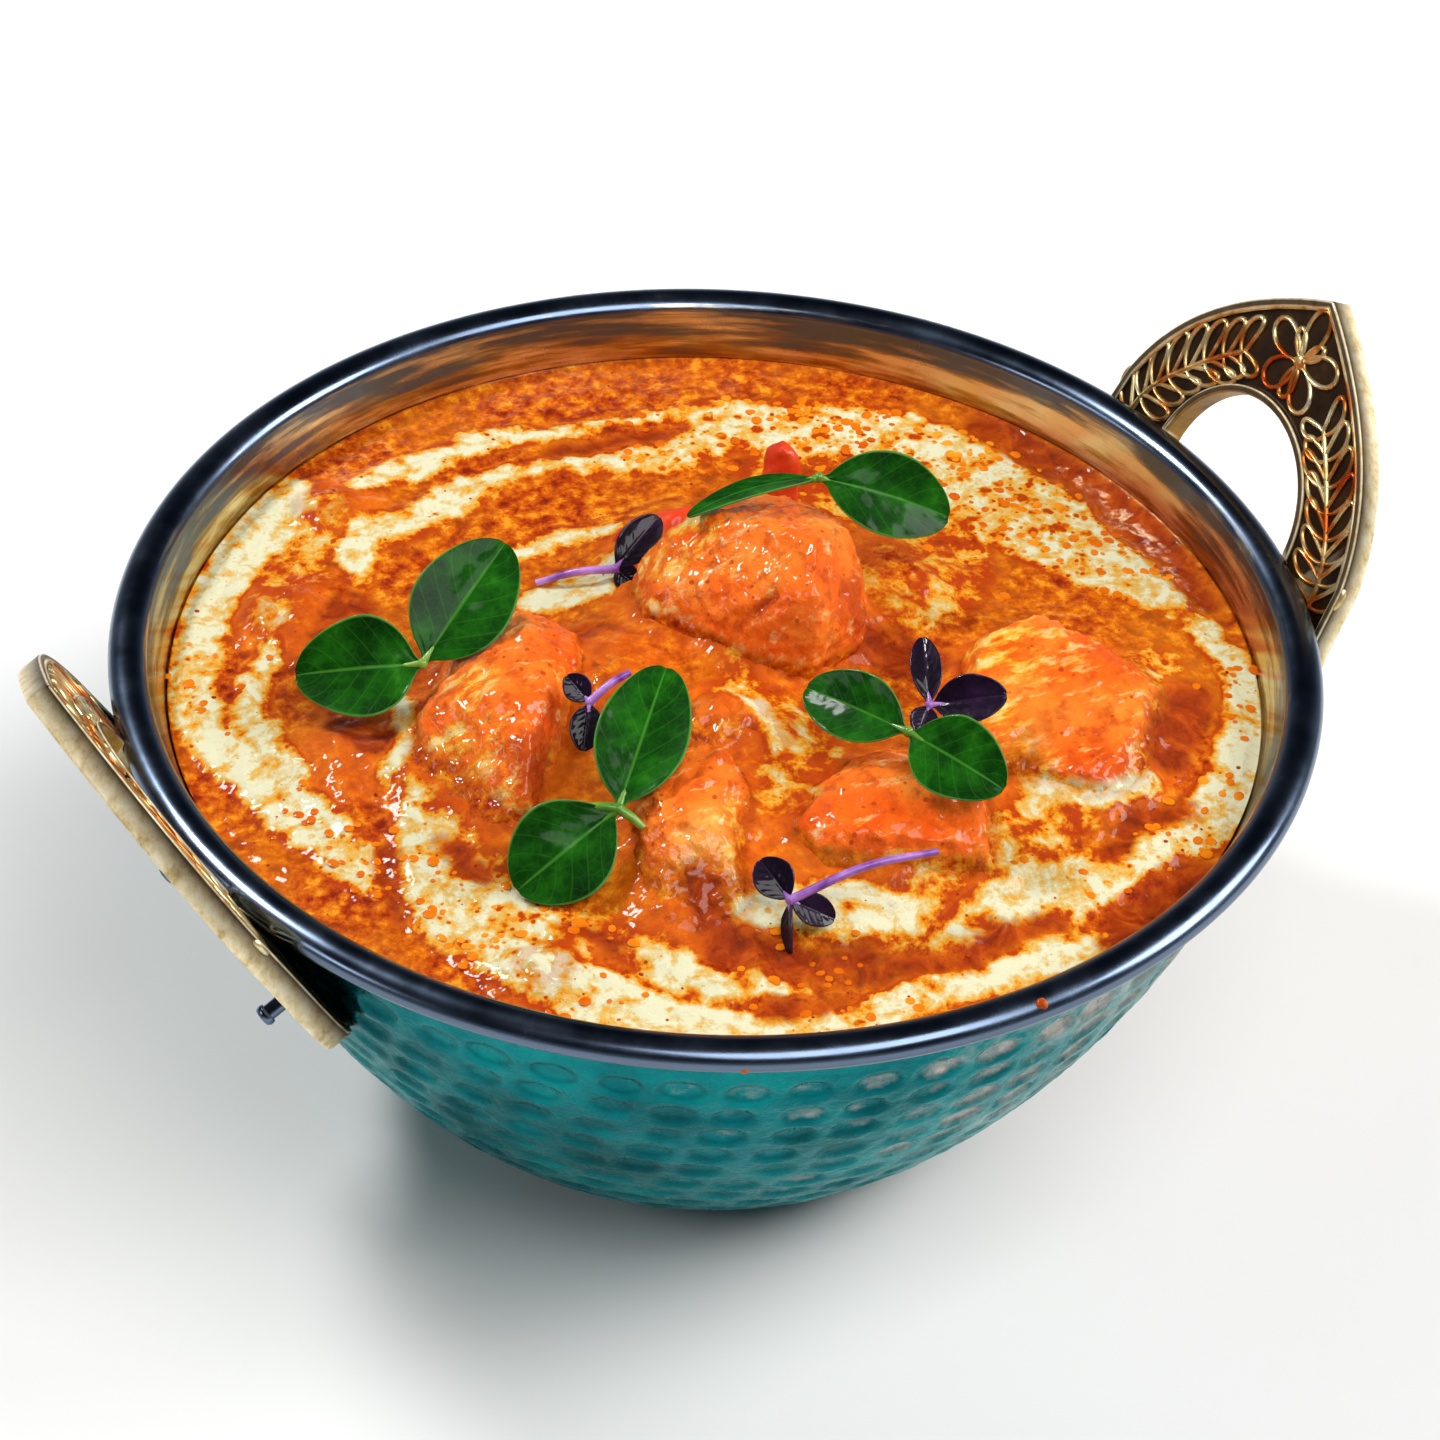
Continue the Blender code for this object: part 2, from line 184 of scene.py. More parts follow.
def throughPoints(points, steps):
    # a smooth line through a few points (Catmull-Rom)
    points = [np.array(point, dtype=float) for point in points]
    points = [2 * points[0] - points[1]] + points + [2 * points[-1] - points[-2]]
    line = []
    for a, b, c, d in zip(points, points[1:], points[2:], points[3:]):
        for step in range(steps):
            t = step / steps
            line.append(0.5 * (2 * b + (c - a) * t + (2 * a - 5 * b + 4 * c - d) * t * t
                               + (3 * b - a - 3 * c + d) * t ** 3))
    return line + [points[-2]]


def linear(code):
    channels = [int(code[place:place + 2], 16) / 255 for place in (1, 3, 5)]
    return tuple(c / 12.92 if c <= 0.04045 else ((c + 0.055) / 1.055) ** 2.4 for c in channels) + (1.0,)


def setNode(finish, node, settings):
    # fills in a node's options, its sockets' values and what feeds them
    sockets = {socket.identifier.replace(" ", "_"): socket for socket in node.inputs}
    for key, value in settings.items():
        if isinstance(value, bpy.types.Node):
            value = next(output for output in value.outputs if output.enabled)
        if key == "stops":
            stops = node.color_ramp.elements
            while len(stops) < len(value):
                stops.new(0.5)
            for stop, (place, colour) in zip(stops, value):
                stop.position = place
                stop.color = linear(colour) if isinstance(colour, str) else (colour, colour, colour, 1)
        elif isinstance(value, bpy.types.NodeSocket):
            finish.node_tree.links.new(value, sockets[key])
        elif key in sockets:
            sockets[key].default_value = linear(value) if isinstance(value, str) else value
        else:
            setattr(node, key, value)


def addNode(finish, kind, **settings):
    node = finish.node_tree.nodes.new("ShaderNode" + kind)
    setNode(finish, node, settings)
    return node


def newFinish(name):
    finish = bpy.data.materials.new(name)
    finish.use_nodes = True
    return finish


def dress(finish, **settings):
    setNode(finish, finish.node_tree.nodes["Principled BSDF"], settings)
    return finish


view = {"distance": 0.600, "elevation": 39.28, "azimuth": -29.1, "roll": 3.1, "lens": 121.64,
        "aim": (0.0013, -0.0155), "target": (0, 0, 0.065)}


def placeCamera():
    tilt, turn, roll = (math.radians(view[key]) for key in ("elevation", "azimuth", "roll"))
    back = Vector((math.sin(turn) * math.cos(tilt), -math.cos(turn) * math.cos(tilt), math.sin(tilt)))
    spot = Vector(view["target"]) + view["distance"] * back
    right = (-back).cross(Vector((0, 0, 1))).normalized()
    up = right.cross(-back)
    forward = (-back + view["aim"][0] * right + view["aim"][1] * up).normalized()
    right = forward.cross(Vector((0, 0, 1))).normalized()
    up = right.cross(forward)
    across = math.cos(roll) * right + math.sin(roll) * up
    top = -math.sin(roll) * right + math.cos(roll) * up
    data = bpy.data.cameras.new("view")
    data.sensor_width = 36
    data.lens = view["lens"]
    data.clip_start = 0.01
    camera = bpy.data.objects.new("view", data)
    scene.collection.objects.link(camera)
    turned = Matrix((across, top, -forward)).transposed().to_4x4()
    camera.matrix_world = Matrix.Translation(spot) @ turned
    scene.camera = camera


# each lamp's azimuth, elevation, distance, size and power, in degrees, metres and watts; azimuth 0 is in
# front of the handles' line and 90 at the right handle
studio = {"key": (-150, 50, 0.9, (0.20, 0.14), 5.0), "front": (8, 60, 1.1, (0.8, 0.55), 7.6),
          "right": (70, 36, 1.0, (0.5, 0.4), 6.4), "left": (-100, 26, 1.0, (0.5, 0.2), 1.2),
          "sky": [(0.0, "#f2f3f4"), (0.12, "#c6ccd4"), (0.30, "#66717f"), (0.5, "#232d3c"),
                  (1.0, "#121a27")],
          "skyStrength": 0.46, "aimHeight": 0.05}


def softbox(name):
    # a soft panel that faces the bowl
    azimuth, elevation, distance, size, power = studio[name]
    turn, tilt = math.radians(azimuth), math.radians(elevation)
    way = Vector((math.sin(turn) * math.cos(tilt), -math.cos(turn) * math.cos(tilt), math.sin(tilt)))
    data = bpy.data.lights.new(name, "AREA")
    data.shape = "RECTANGLE"
    data.size, data.size_y = size
    data.energy = power
    lamp = bpy.data.objects.new(name, data)
    scene.collection.objects.link(lamp)
    lamp.location = Vector((0, 0, studio["aimHeight"])) + way * distance
    lamp.rotation_euler = (-way).to_track_quat("-Z", "Y").to_euler()


placeCamera()
scene.view_settings.view_transform = "Standard"
scene.view_settings.look = "None"
for name in ("key", "front", "right", "left"):
    softbox(name)
world = bpy.data.worlds.new("studio")
world.use_nodes = True
way = addNode(world, "TexCoord").outputs["Generated"]
tall = addNode(world, "SeparateXYZ", Vector=way).outputs["Z"]
setNode(world, world.node_tree.nodes["Background"], {
    "Color": addNode(world, "ValToRGB", Fac=tall, stops=studio["sky"]), "Strength": studio["skyStrength"]})
scene.world = world

clearSelection()
bpy.ops.mesh.primitive_plane_add(size=8, location=(0, 0, -0.05 * mm))
floor = bpy.context.object
floor.name = "floor"
floor.data.materials.append(dress(newFinish("paper_floor"), Base_Color="#f4f4f2", Roughness=0.9))
print("camera and lights placed")


# shellInset, linerInset and wall are how far the metal skins lie inside the bowl's outer form; beadFrom and
# beadTo are the angles between which the rim's bead shows; the film keys set how far up the wall the painted
# sauce reflection climbs and how much it fades there
bowl = {"rimRadius": 74.7, "rimHeight": 65, "beadHalfWidth": 2.4, "beadHalfHeight": 1.8,
        "beadFrom": 180, "beadTo": -128, "shellTop": 70.6, "shellTopDrop": 2.6, "baseRadius": 30.6,
        "baseInsetShare": 0.4, "footRadius": 28, "footHeight": 0.7, "belly": 1.4, "shellInset": 0.6,
        "linerInset": 0.7, "linerLap": 0.6, "wall": 1.75, "sauceDrop": 6.5, "neckDrop": 5.0, "neckWidth": 4,
        "filmAndReflectionReach": 5, "filmAndReflectionLoss": 0.75, "segments": 256}
sauceLevel = (bowl["rimHeight"] - bowl["sauceDrop"]) * mm


def wallPoint(turn, inset):
    # the side is a quarter of a rounded box: turn 0 is the rim, turn 1 the base
    power = 2 / bowl["belly"]
    angle = turn * math.pi / 2
    lower = bowl["baseRadius"] - bowl["baseInsetShare"] * inset
    upper = bowl["shellTop"] - inset
    depth = bowl["rimHeight"] - bowl["footHeight"] - inset
    radius = lower + (upper - lower) * math.cos(angle) ** power
    return radius * mm, (bowl["rimHeight"] - depth * math.sin(angle) ** power) * mm


def wallFrom(drop, inset, steps):
    share = drop / (bowl["rimHeight"] - bowl["footHeight"] - inset)
    start = math.asin(share ** (bowl["belly"] / 2)) * 2 / math.pi
    fine = [wallPoint(min(start + (1 - start) * step / 2000, 1), inset) for step in range(2001)]
    lengths = np.concatenate(([0], np.cumsum([math.dist(a, b) for a, b in zip(fine, fine[1:])])))
    picks = np.linspace(0, lengths[-1], steps + 1)
    radii = np.interp(picks, lengths, [point[0] for point in fine])
    heights = np.interp(picks, lengths, [point[1] for point in fine])
    return list(zip(radii.tolist(), heights.tolist()))


def beadArc(first, last, steps, grow=0.0):
    middle = (bowl["rimRadius"] - bowl["beadHalfWidth"]) * mm
    line = []
    for step in range(steps + 1):
        angle = math.radians(first + (last - first) * step / steps)
        line.append((middle + (bowl["beadHalfWidth"] * mm + grow) * math.cos(angle),
                     bowl["rimHeight"] * mm + (bowl["beadHalfHeight"] * mm + grow) * math.sin(angle)))
    return line


# the wall stays plain down to plainFrom and for footFade above the foot; plates is the half width and the
# lowest height of the places that the handles lie against
hammer = {"columns": 720, "rows": 110, "pitch": 6.0, "across": 7.6, "radius": 3.3, "tallness": 0.74,
          "sizes": (0.86, 1.08), "depth": 0.50, "depths": (0.6, 1.1), "edge": 1.4, "ridge": 0.18,
          "firstRow": 7.6, "jitter": 0.7, "grain": 0.12, "grainSize": 2.2, "plainFrom": 3.5, "plainTo": 7.0,
          "footFade": 3, "plates": (26, 34), "seed": 5}


def makeShell():
    # the hammered outer wall: rows of pressed dents, each row shifted half a dent from the last
    outer = wallFrom(bowl["shellTopDrop"], 0, hammer["rows"])
    inner = wallFrom(bowl["shellTopDrop"], bowl["shellInset"], 12)
    foot = [(bowl["footRadius"] * mm, bowl["footHeight"] * mm), (bowl["footRadius"] * mm, 0), (0, 0)]
    profile = [(0, inner[-1][1])] + inner[::-1] + outer + foot
    shell = turnedPiece("hammered_shell_visual", profile, hammer["columns"])
    points = coords(shell)
    radius = np.hypot(points[:, 0], points[:, 1])
    angle = np.arctan2(points[:, 1], points[:, 0])
    heights = np.array([point[1] for point in outer])
    radii = np.array([point[0] for point in outer])
    lengths = np.concatenate(([0], np.cumsum(np.hypot(np.diff(radii), np.diff(heights)))))
    along = np.interp(-points[:, 2], -heights, lengths)
    onWall = np.abs(radius - np.interp(-points[:, 2], -heights, radii)) < 0.05 * mm
    rng = random.Random(hammer["seed"])
    press = np.zeros(len(points))
    rows = int((lengths[-1] / mm - hammer["firstRow"]) / hammer["pitch"])
    for row in range(rows + 1):
        middle = (hammer["firstRow"] + row * hammer["pitch"]) * mm
        ring = float(np.interp(middle, lengths, radii))
        count = max(8, round(math.tau * ring / (hammer["across"] * mm)))
        for index in range(count):
            spot = math.tau * (index + 0.5 * (row % 2)) / count
            spot += rng.uniform(-1, 1) * hammer["jitter"] * mm / ring
            lift = middle + rng.uniform(-1, 1) * hammer["jitter"] * 0.6 * mm
            size = hammer["radius"] * rng.uniform(*hammer["sizes"]) * mm
            close = np.where(onWall & (np.abs(along - lift) < 1.6 * size))[0]
            side = (angle[close] - spot + math.pi) % math.tau - math.pi
            away = np.hypot(side * ring, (along[close] - lift) / hammer["tallness"]) / size
            dent = np.where(away < 1, 1 - np.minimum(away, 1) ** 4, 0) ** hammer["edge"]
            dent *= rng.uniform(*hammer["depths"])
            press[close] = np.maximum(press[close], dent)
    rough = cloud(points, hammer["grainSize"] * mm, 2, 3) * hammer["grain"]
    depth = (-hammer["depth"] * press + hammer["ridge"] * (1 - press) ** 2 + rough) * mm
    # nothing rises behind the handle plates, which lie against the wall
    acrossPlate, underPlate = hammer["plates"]
    behind = (np.abs(points[:, 1]) < acrossPlate * mm) * (points[:, 2] > underPlate * mm)
    depth = np.where(behind, np.minimum(depth, 0), depth)
    below = ease(along, hammer["plainFrom"] * mm, hammer["plainTo"] * mm)
    fade = below * ease(lengths[-1] - along, 0, hammer["footFade"] * mm) * onWall
    moveTo(shell, points + normals(shell) * (depth * fade)[:, None])
    paint(shell, "dent", press * below)
    smooth(shell, 60)
    return shell


def makeRim():
    # the steel liner, whose edge rolls over into a bead
    outer = wallFrom(bowl["shellTopDrop"] - bowl["linerLap"], bowl["linerInset"], 16)
    inner = wallFrom(bowl["neckDrop"], bowl["wall"], 40)
    bead = beadArc(bowl["beadFrom"], bowl["beadTo"], 44)
    profile = [(0, inner[-1][1])] + inner[::-1] + bead + outer + [(0, outer[-1][1])]
    rim = turnedPiece("steel_rim_visual", profile, bowl["segments"])
    points = coords(rim)
    # film marks the painted reflection of the sauce on the inner wall, fading upward
    within = np.hypot(points[:, 0], points[:, 1]) < (bowl["rimRadius"] - bowl["neckWidth"]) * mm
    risen = fit(points[:, 2], sauceLevel, sauceLevel + bowl["filmAndReflectionReach"] * mm)
    paint(rim, "film", (1 - bowl["filmAndReflectionLoss"] * risen) * within)
    smooth(rim, 60)
    return rim


def copperWithPaintedReflection():
    # hammered copper coloured by painted reflection: teal from the surroundings it mirrors, rose-grey where
    # dents catch the light
    finish = newFinish("patinated_hammered_copper")
    place = addNode(finish, "TexCoord").outputs["Object"]
    side = addNode(finish, "SeparateXYZ", Vector=place).outputs["X"]
    side = addNode(finish, "Math", operation="MINIMUM", Value=side, Value_001=0.045)
    dent = addNode(finish, "Attribute", attribute_name="dent").outputs["Fac"]
    blot = addNode(finish, "TexNoise", Vector=place, Scale=0.5 / (9 * mm), Detail=5, Roughness=0.6)
    speck = addNode(finish, "TexNoise", Vector=place, Scale=0.5 / (1.6 * mm), Detail=4, Roughness=0.7)
    # the painted rose-grey reflection grows towards the right handle and in the dents, in blotches and specks
    roseReflection = addNode(finish, "Math", operation="MULTIPLY_ADD", Value=side, Value_001=7.5, Value_002=-0.50)
    roseReflection = addNode(finish, "Math", operation="MULTIPLY_ADD", Value=blot, Value_001=1.1, Value_002=roseReflection)
    roseReflection = addNode(finish, "Math", operation="MULTIPLY_ADD", Value=dent, Value_001=0.28, Value_002=roseReflection)
    roseReflection = addNode(finish, "Math", operation="MULTIPLY_ADD", Value=speck, Value_001=0.5, Value_002=roseReflection)
    share = addNode(finish, "ValToRGB", Fac=roseReflection, stops=[(0.36, 0.0), (0.72, 0.8)])
    # painted reflection of the teal surroundings, in blotches about 9 mm across
    teal = addNode(finish, "ValToRGB", Fac=blot, stops=[
        (0.34, "#00484e"), (0.5, "#006c72"), (0.68, "#088c8c")])
    rose = addNode(finish, "ValToRGB", Fac=speck, stops=[(0.3, "#b08a82"), (0.7, "#f2d4ca")])
    colour = addNode(finish, "Mix", data_type="RGBA", Factor_Float=share, A_Color=teal, B_Color=rose)
    # painted shade on the slopes of each dent
    paintedDentShade = addNode(finish, "Math", operation="PINGPONG", Value=dent, Value_001=0.5)
    paintedDentShade = addNode(finish, "ValToRGB", Fac=paintedDentShade, stops=[(0.14, 0.0), (0.46, 0.36)])
    colour = addNode(finish, "Mix", data_type="RGBA", Factor_Float=paintedDentShade, A_Color=colour, B_Color="#03282c")
    rough = addNode(finish, "ValToRGB", Fac=speck, stops=[(0.3, 0.18), (0.75, 0.42)])
    # scale pits left by the hammer, about 0.6 mm across
    pits = addNode(finish, "TexNoise", Vector=place, Scale=0.5 / (0.6 * mm), Detail=4, Roughness=0.6)
    relief = addNode(finish, "Bump", Height=pits, Distance=0.16 * mm, Strength=0.9)
    return dress(finish, Base_Color=colour, Roughness=rough, Normal=relief, Metallic=0.82,
                 Specular_IOR_Level=0.1, Specular_Tint="#d0ffff")


def polishedSteel():
    # polished stainless steel, a little dulled by use, with faint turning lines round it
    finish = newFinish("polished_stainless_steel")
    place = addNode(finish, "TexCoord").outputs["Object"]
    smear = addNode(finish, "TexNoise", Vector=place, Scale=0.5 / (4 * mm), Detail=5, Roughness=0.6)
    rough = addNode(finish, "ValToRGB", Fac=smear, stops=[(0.35, 0.18), (0.75, 0.32)])
    # painted reflection of the sauce in a golden oily film on the wall inside, thickest just above the sauce
    film = addNode(finish, "Attribute", attribute_name="film").outputs["Fac"]
    around = addNode(finish, "Mapping", Vector=place, Scale=(0.25, 0.25, 3.2))
    streak = addNode(finish, "TexNoise", Vector=around, Scale=0.5 / (3 * mm), Detail=5, Roughness=0.6)
    film = addNode(finish, "Math", operation="MULTIPLY_ADD", Value=film, Value_001=1.6, Value_002=-1.55)
    film = addNode(finish, "Math", operation="MULTIPLY_ADD", Value=streak, Value_001=2.6, Value_002=film)
    film = addNode(finish, "ValToRGB", Fac=film, stops=[(0.25, 0.0), (0.75, 0.85)])
    # the film's streaks, gold to pale, are the painted reflection of the sauce and its highlights
    oilyReflection = addNode(finish, "ValToRGB", Fac=streak, stops=[
        (0.38, "#8e6614"), (0.48, "#bc983a"), (0.58, "#f6e4b0")])
    # the bare steel's dark blue-grey is a painted reflection of dark navy surroundings
    tone = addNode(finish, "Mix", data_type="RGBA", Factor_Float=film, A_Color="#616f84", B_Color=oilyReflection)
    turned = addNode(finish, "Mapping", Vector=place, Scale=(0.2, 0.2, 3.0))
    lines = addNode(finish, "TexNoise", Vector=turned, Scale=0.5 / (0.35 * mm), Detail=3, Roughness=0.6)
    relief = addNode(finish, "Bump", Height=lines, Distance=0.01 * mm, Strength=0.4)
    return dress(finish, Base_Color=tone, Roughness=rough, Normal=relief, Metallic=1.0)


steel = polishedSteel()
wear(makeShell(), copperWithPaintedReflection(), "hammered_metal", "hammered_shell")
wear(makeRim(), steel, "stainless_steel", "steel_liner")
print("bowl made")


# foot is the lower outline and arch two of the curve's three points, in mm across and up the plate; rivetEnd
# is the headed end's outline, as radius and distance from its top; right and left are each plate's turn round
# the bowl, distance from its axis and lean
handle = {"thickness": 3.3, "foot": ((18, -25.5), (23.4, -22.5), (26.6, -18.5), (27.7, -14.5), (27.5, -10),
                                     (26.6, -4)),
          "arch": ((26, 3), (22.2, 19.1)), "archSteps": 26, "tip": 30.1, "hole": 14.2, "holeUp": -0.65,
          "border": 1.1, "recess": 0.6, "soften": 0.35, "borderDirt": 0.92, "rivetAcross": 14, "rivetUp": -21,
          "rivetProud": 4.6, "rivetEnd": ((1.0, 1.2), (1.25, 1.15), (1.35, 0.9), (1.32, 0.5), (1.1, 0.15),
                                          (0.6, 0.03), (0, 0)),
          "right": (0, 72.8, 26.4), "left": (182, 72.6, 30)}
# the cast foliage, in mm across and up the plate: where each pair of leaves springs from the stem, the tip of
# its outer and of its inner leaf; then the flower's petals as angle from the tip, length and width. sunk is
# the share of the recess at which it all lies
foliage = {"pairs": [((22.2, -1.6), (25.9, 3.2), (15.6, -1.2)), ((21.7, 1.5), (24.2, 6.4), (15.7, 2.4)),
                     ((20.6, 3.9), (22.4, 9.6), (14.8, 5.6)), ((19.0, 6.4), (20.0, 12.6), (13.2, 8.6)),
                     ((16.9, 8.9), (17.6, 15.3), (11.0, 11.2)), ((14.7, 11.5), (15.0, 17.6), (8.4, 12.8)),
                     ((12.2, 14.0), (12.2, 19.6), (7.6, 14.2)), ((9.8, 16.2), (9.4, 21.6), (5.6, 15.4))],
           "leafWidth": (2.3, 2.1), "leafBow": (-0.5, 0.4), "sunk": 0.8, "flower": (0, 20.9),
           "petalFrom": 0.8, "boss": 1.0, "ridge": 0.34, "stem": 1.15, "borderRidge": 0.26, "steps": 20,
           "petals": [(0, 7.6, 3.6), (74, 7.2, 3.6), (-74, 7.2, 3.6), (140, 6.6, 3.8), (-140, 6.6, 3.8),
                      (37, 4.4, 1.6), (-37, 4.4, 1.6), (180, 5.2, 2.2)]}


def platePlace(which):
    side, reach, lean = handle[which]
    return Matrix.Rotation(math.radians(side), 4, "Z") @ Matrix.Translation(
        (reach * mm, 0, bowl["rimHeight"] * mm)) @ Matrix.Rotation(math.radians(lean), 4, "Y")


def plateHalf():
    # one side of the plate, from its foot up a curve to its pointed tip
    side = list(handle["foot"])
    spring, pull = handle["arch"]
    for step in range(handle["archSteps"] + 1):
        t = step / handle["archSteps"]
        across = (1 - t) ** 2 * spring[0] + 2 * t * (1 - t) * pull[0]
        up = (1 - t) ** 2 * spring[1] + 2 * t * (1 - t) * pull[1] + t * t * handle["tip"]
        side.append((across, up))
    return side


def plateSolid(name, outline, first, last):
    # a flat face of the outline between two depths; local X is outward, Y across, Z up
    clearSelection()
    bpy.ops.mesh.primitive_circle_add(vertices=len(outline), radius=mm, fill_type="NGON")
    piece = bpy.context.object
    moveTo(piece, [(first * mm, across * mm, up * mm) for across, up in outline])
    bpy.ops.object.mode_set(mode="EDIT")
    bpy.ops.mesh.select_all(action="SELECT")
    bpy.ops.mesh.extrude_region_move(TRANSFORM_OT_translate={"value": ((last - first) * mm, 0, 0)})
    bpy.ops.mesh.select_all(action="SELECT")
    bpy.ops.mesh.normals_make_consistent(inside=False)
    bpy.ops.object.mode_set(mode="OBJECT")
    piece.name = name
    return piece


def cutAway(piece, cutter):
    step = piece.modifiers.new("cut", "BOOLEAN")
    step.operation = "DIFFERENCE"
    step.solver = "EXACT"
    step.object = cutter
    applyAll(piece)
    bpy.data.objects.remove(cutter, do_unlink=True)


def holeCutter(radius, first, last):
    clearSelection()
    bpy.ops.mesh.primitive_cylinder_add(
        vertices=96, radius=radius * mm, depth=(last - first) * mm,
        location=((first + last) / 2 * mm, 0, handle["holeUp"] * mm), rotation=(0, math.pi / 2, 0))
    return bpy.context.object


def shrunk(outline, by):
    # the outline moved inward by a border
    count = len(outline)
    line = []
    for index in range(count):
        before, here, after = (Vector(outline[(index + step) % count]) for step in (-1, 0, 1))
        if (after - before).length < 0.001:
            continue
        along = (after - before).normalized()
        line.append(tuple(here + Vector((-along.y, along.x)) * by))
    return line


def leafRidge(base, tip, width, depth, bow=0.0):
    # the raised outline of one cast leaf between two places on the plate's face
    start, end = Vector(base), Vector(tip)
    along = end - start
    side = Vector((-along.y, along.x)).normalized()
    radius = foliage["ridge"]
    loop = []
    for step in range(foliage["steps"] + 1):
        t = step / foliage["steps"] * math.tau
        share = (1 - math.cos(t)) / 2
        spot = start + along * share + side * (
            width / 2 * math.sin(t) * (1 - 0.2 * math.cos(t)) + bow * math.sin(math.pi * share))
        loop.append(Vector((depth, spot.x, spot.y)) * mm)
    swelling = [math.sin(math.pi * step / foliage["steps"]) for step in range(foliage["steps"] + 1)]
    return tube("ridge", loop, [radius * (0.75 + 0.35 * swell) * mm for swell in swelling], 1)


def makeHandle(which):
    half = plateHalf()
    outline = half + [(-across, up) for across, up in half[::-1] if across > 0.01]
    plate = plateSolid("plate", outline, 0, handle["thickness"])
    # each cutter reaches past what it cuts
    cutAway(plate, holeCutter(handle["hole"], -2, handle["thickness"] + 2))
    field = plateSolid("field", shrunk(outline, handle["border"]), -1, handle["recess"])
    cutAway(field, holeCutter(handle["hole"] + handle["border"], -3, 3))
    cutAway(plate, field)
    soften = plate.modifiers.new("soften", "BEVEL")
    soften.width = handle["soften"] * mm
    soften.segments = 2
    soften.limit_method = "ANGLE"
    soften.angle_limit = math.radians(50)
    applyAll(plate)
    local = coords(plate)
    radial = np.hypot(local[:, 1], local[:, 2] - handle["holeUp"] * mm)
    inField = (local[:, 0] > 0.12 * mm) & (local[:, 0] < (handle["recess"] + 0.05) * mm)
    inField &= radial > (handle["hole"] + 0.6) * mm
    onBorder = local[:, 0] < 0.05 * mm
    paint(plate, "hollow", np.where(inField, 1.0, np.where(onBorder, handle["borderDirt"], 0.0)))
    paint(plate, "bore", ease(-radial, -(handle["hole"] + 0.5) * mm, -(handle["hole"] + 0.1) * mm))
    place = platePlace(which)
    plate.data.transform(place)
    cutAway(plate, bowlForm())
    name = "handle_" + which
    smooth(plate, 20)
    wear(plate, brass, "cast_brass", name)
    plate.name = name + "_visual"

    # the cast leaf spray stands in the sunk field
    ground = handle["recess"] * foliage["sunk"]
    ornaments = []
    for side in (1, -1):
        stem = []
        for base, outer, inner in foliage["pairs"]:
            base, outer, inner = ((side * across, up) for across, up in (base, outer, inner))
            for tip, width, bow in zip((outer, inner), foliage["leafWidth"], foliage["leafBow"]):
                ornaments.append(leafRidge(base, tip, width, ground, bow * side))
            stem.append((ground * mm, base[0] * mm, base[1] * mm))
        ornaments.append(tube("stem", stem, [foliage["ridge"] * foliage["stem"] * mm] * len(stem), 1))
    middle = Vector(foliage["flower"])
    for turn, length, width in foliage["petals"]:
        way = Vector((math.sin(math.radians(turn)), math.cos(math.radians(turn))))
        start = middle + way * foliage["petalFrom"]
        ornaments.append(leafRidge(start, middle + way * length, width, ground))
    edge = [(across, up) for across, up in shrunk(outline, handle["border"] + 0.1) if up > -1]
    line = [Vector((0.25, across, up)) * mm for across, up in edge]
    ornaments.append(tube("edge", line, [foliage["borderRidge"] * mm] * len(line), 1))
    clearSelection()
    bpy.ops.mesh.primitive_uv_sphere_add(
        segments=16, ring_count=10, radius=foliage["boss"] * mm, scale=(0.6, 1, 1),
        location=(ground * mm, middle.x * mm, middle.y * mm))
    ornaments.append(settle(bpy.context.object, "boss"))
    spray = joinPieces(ornaments, name + "_leaf_spray")
    spray.data.transform(place)
    smooth(spray, 60)
    wear(spray, goldRidge, "cast_brass")

    # rivets through the foot of the plate
    for index, across in enumerate((-handle["rivetAcross"], handle["rivetAcross"])):
        rivet = makeRivet()
        rivet.data.transform(place @ Matrix.Translation((0, across * mm, handle["rivetUp"] * mm)) @
                             Matrix.Rotation(math.pi / 2, 4, "Y"))
        cutAway(rivet, bowlForm())
        rivet.name = f"{name}_rivet_{index + 1}_visual"
        smooth(rivet, 40)
        wear(rivet, steel, "stainless_steel", f"{name}_rivet_{index + 1}")


def makeRivet():
    # a round shank with a low head at its end
    top = handle["thickness"] + handle["rivetProud"]
    shank = handle["rivetEnd"][0][0]
    profile = [(0, 0), (shank, 0)] + [(radius, top - below) for radius, below in handle["rivetEnd"]]
    return turnedPiece("rivet", [(radius * mm, height * mm) for radius, height in profile], 28)


def bowlForm():
    # the bowl's whole outer form, which trims whatever is fixed to its side
    gap = 0.1 * mm
    outer = [(radius + gap, height) for radius, height in wallFrom(bowl["shellTopDrop"], 0, 24)]
    top = (bowl["rimHeight"] + bowl["beadHalfHeight"]) * mm + gap
    bead = beadArc(90, -140, 24, gap)
    return turnedPiece("form", [(0, top)] + bead + outer + [(0, outer[-1][1])], 160)


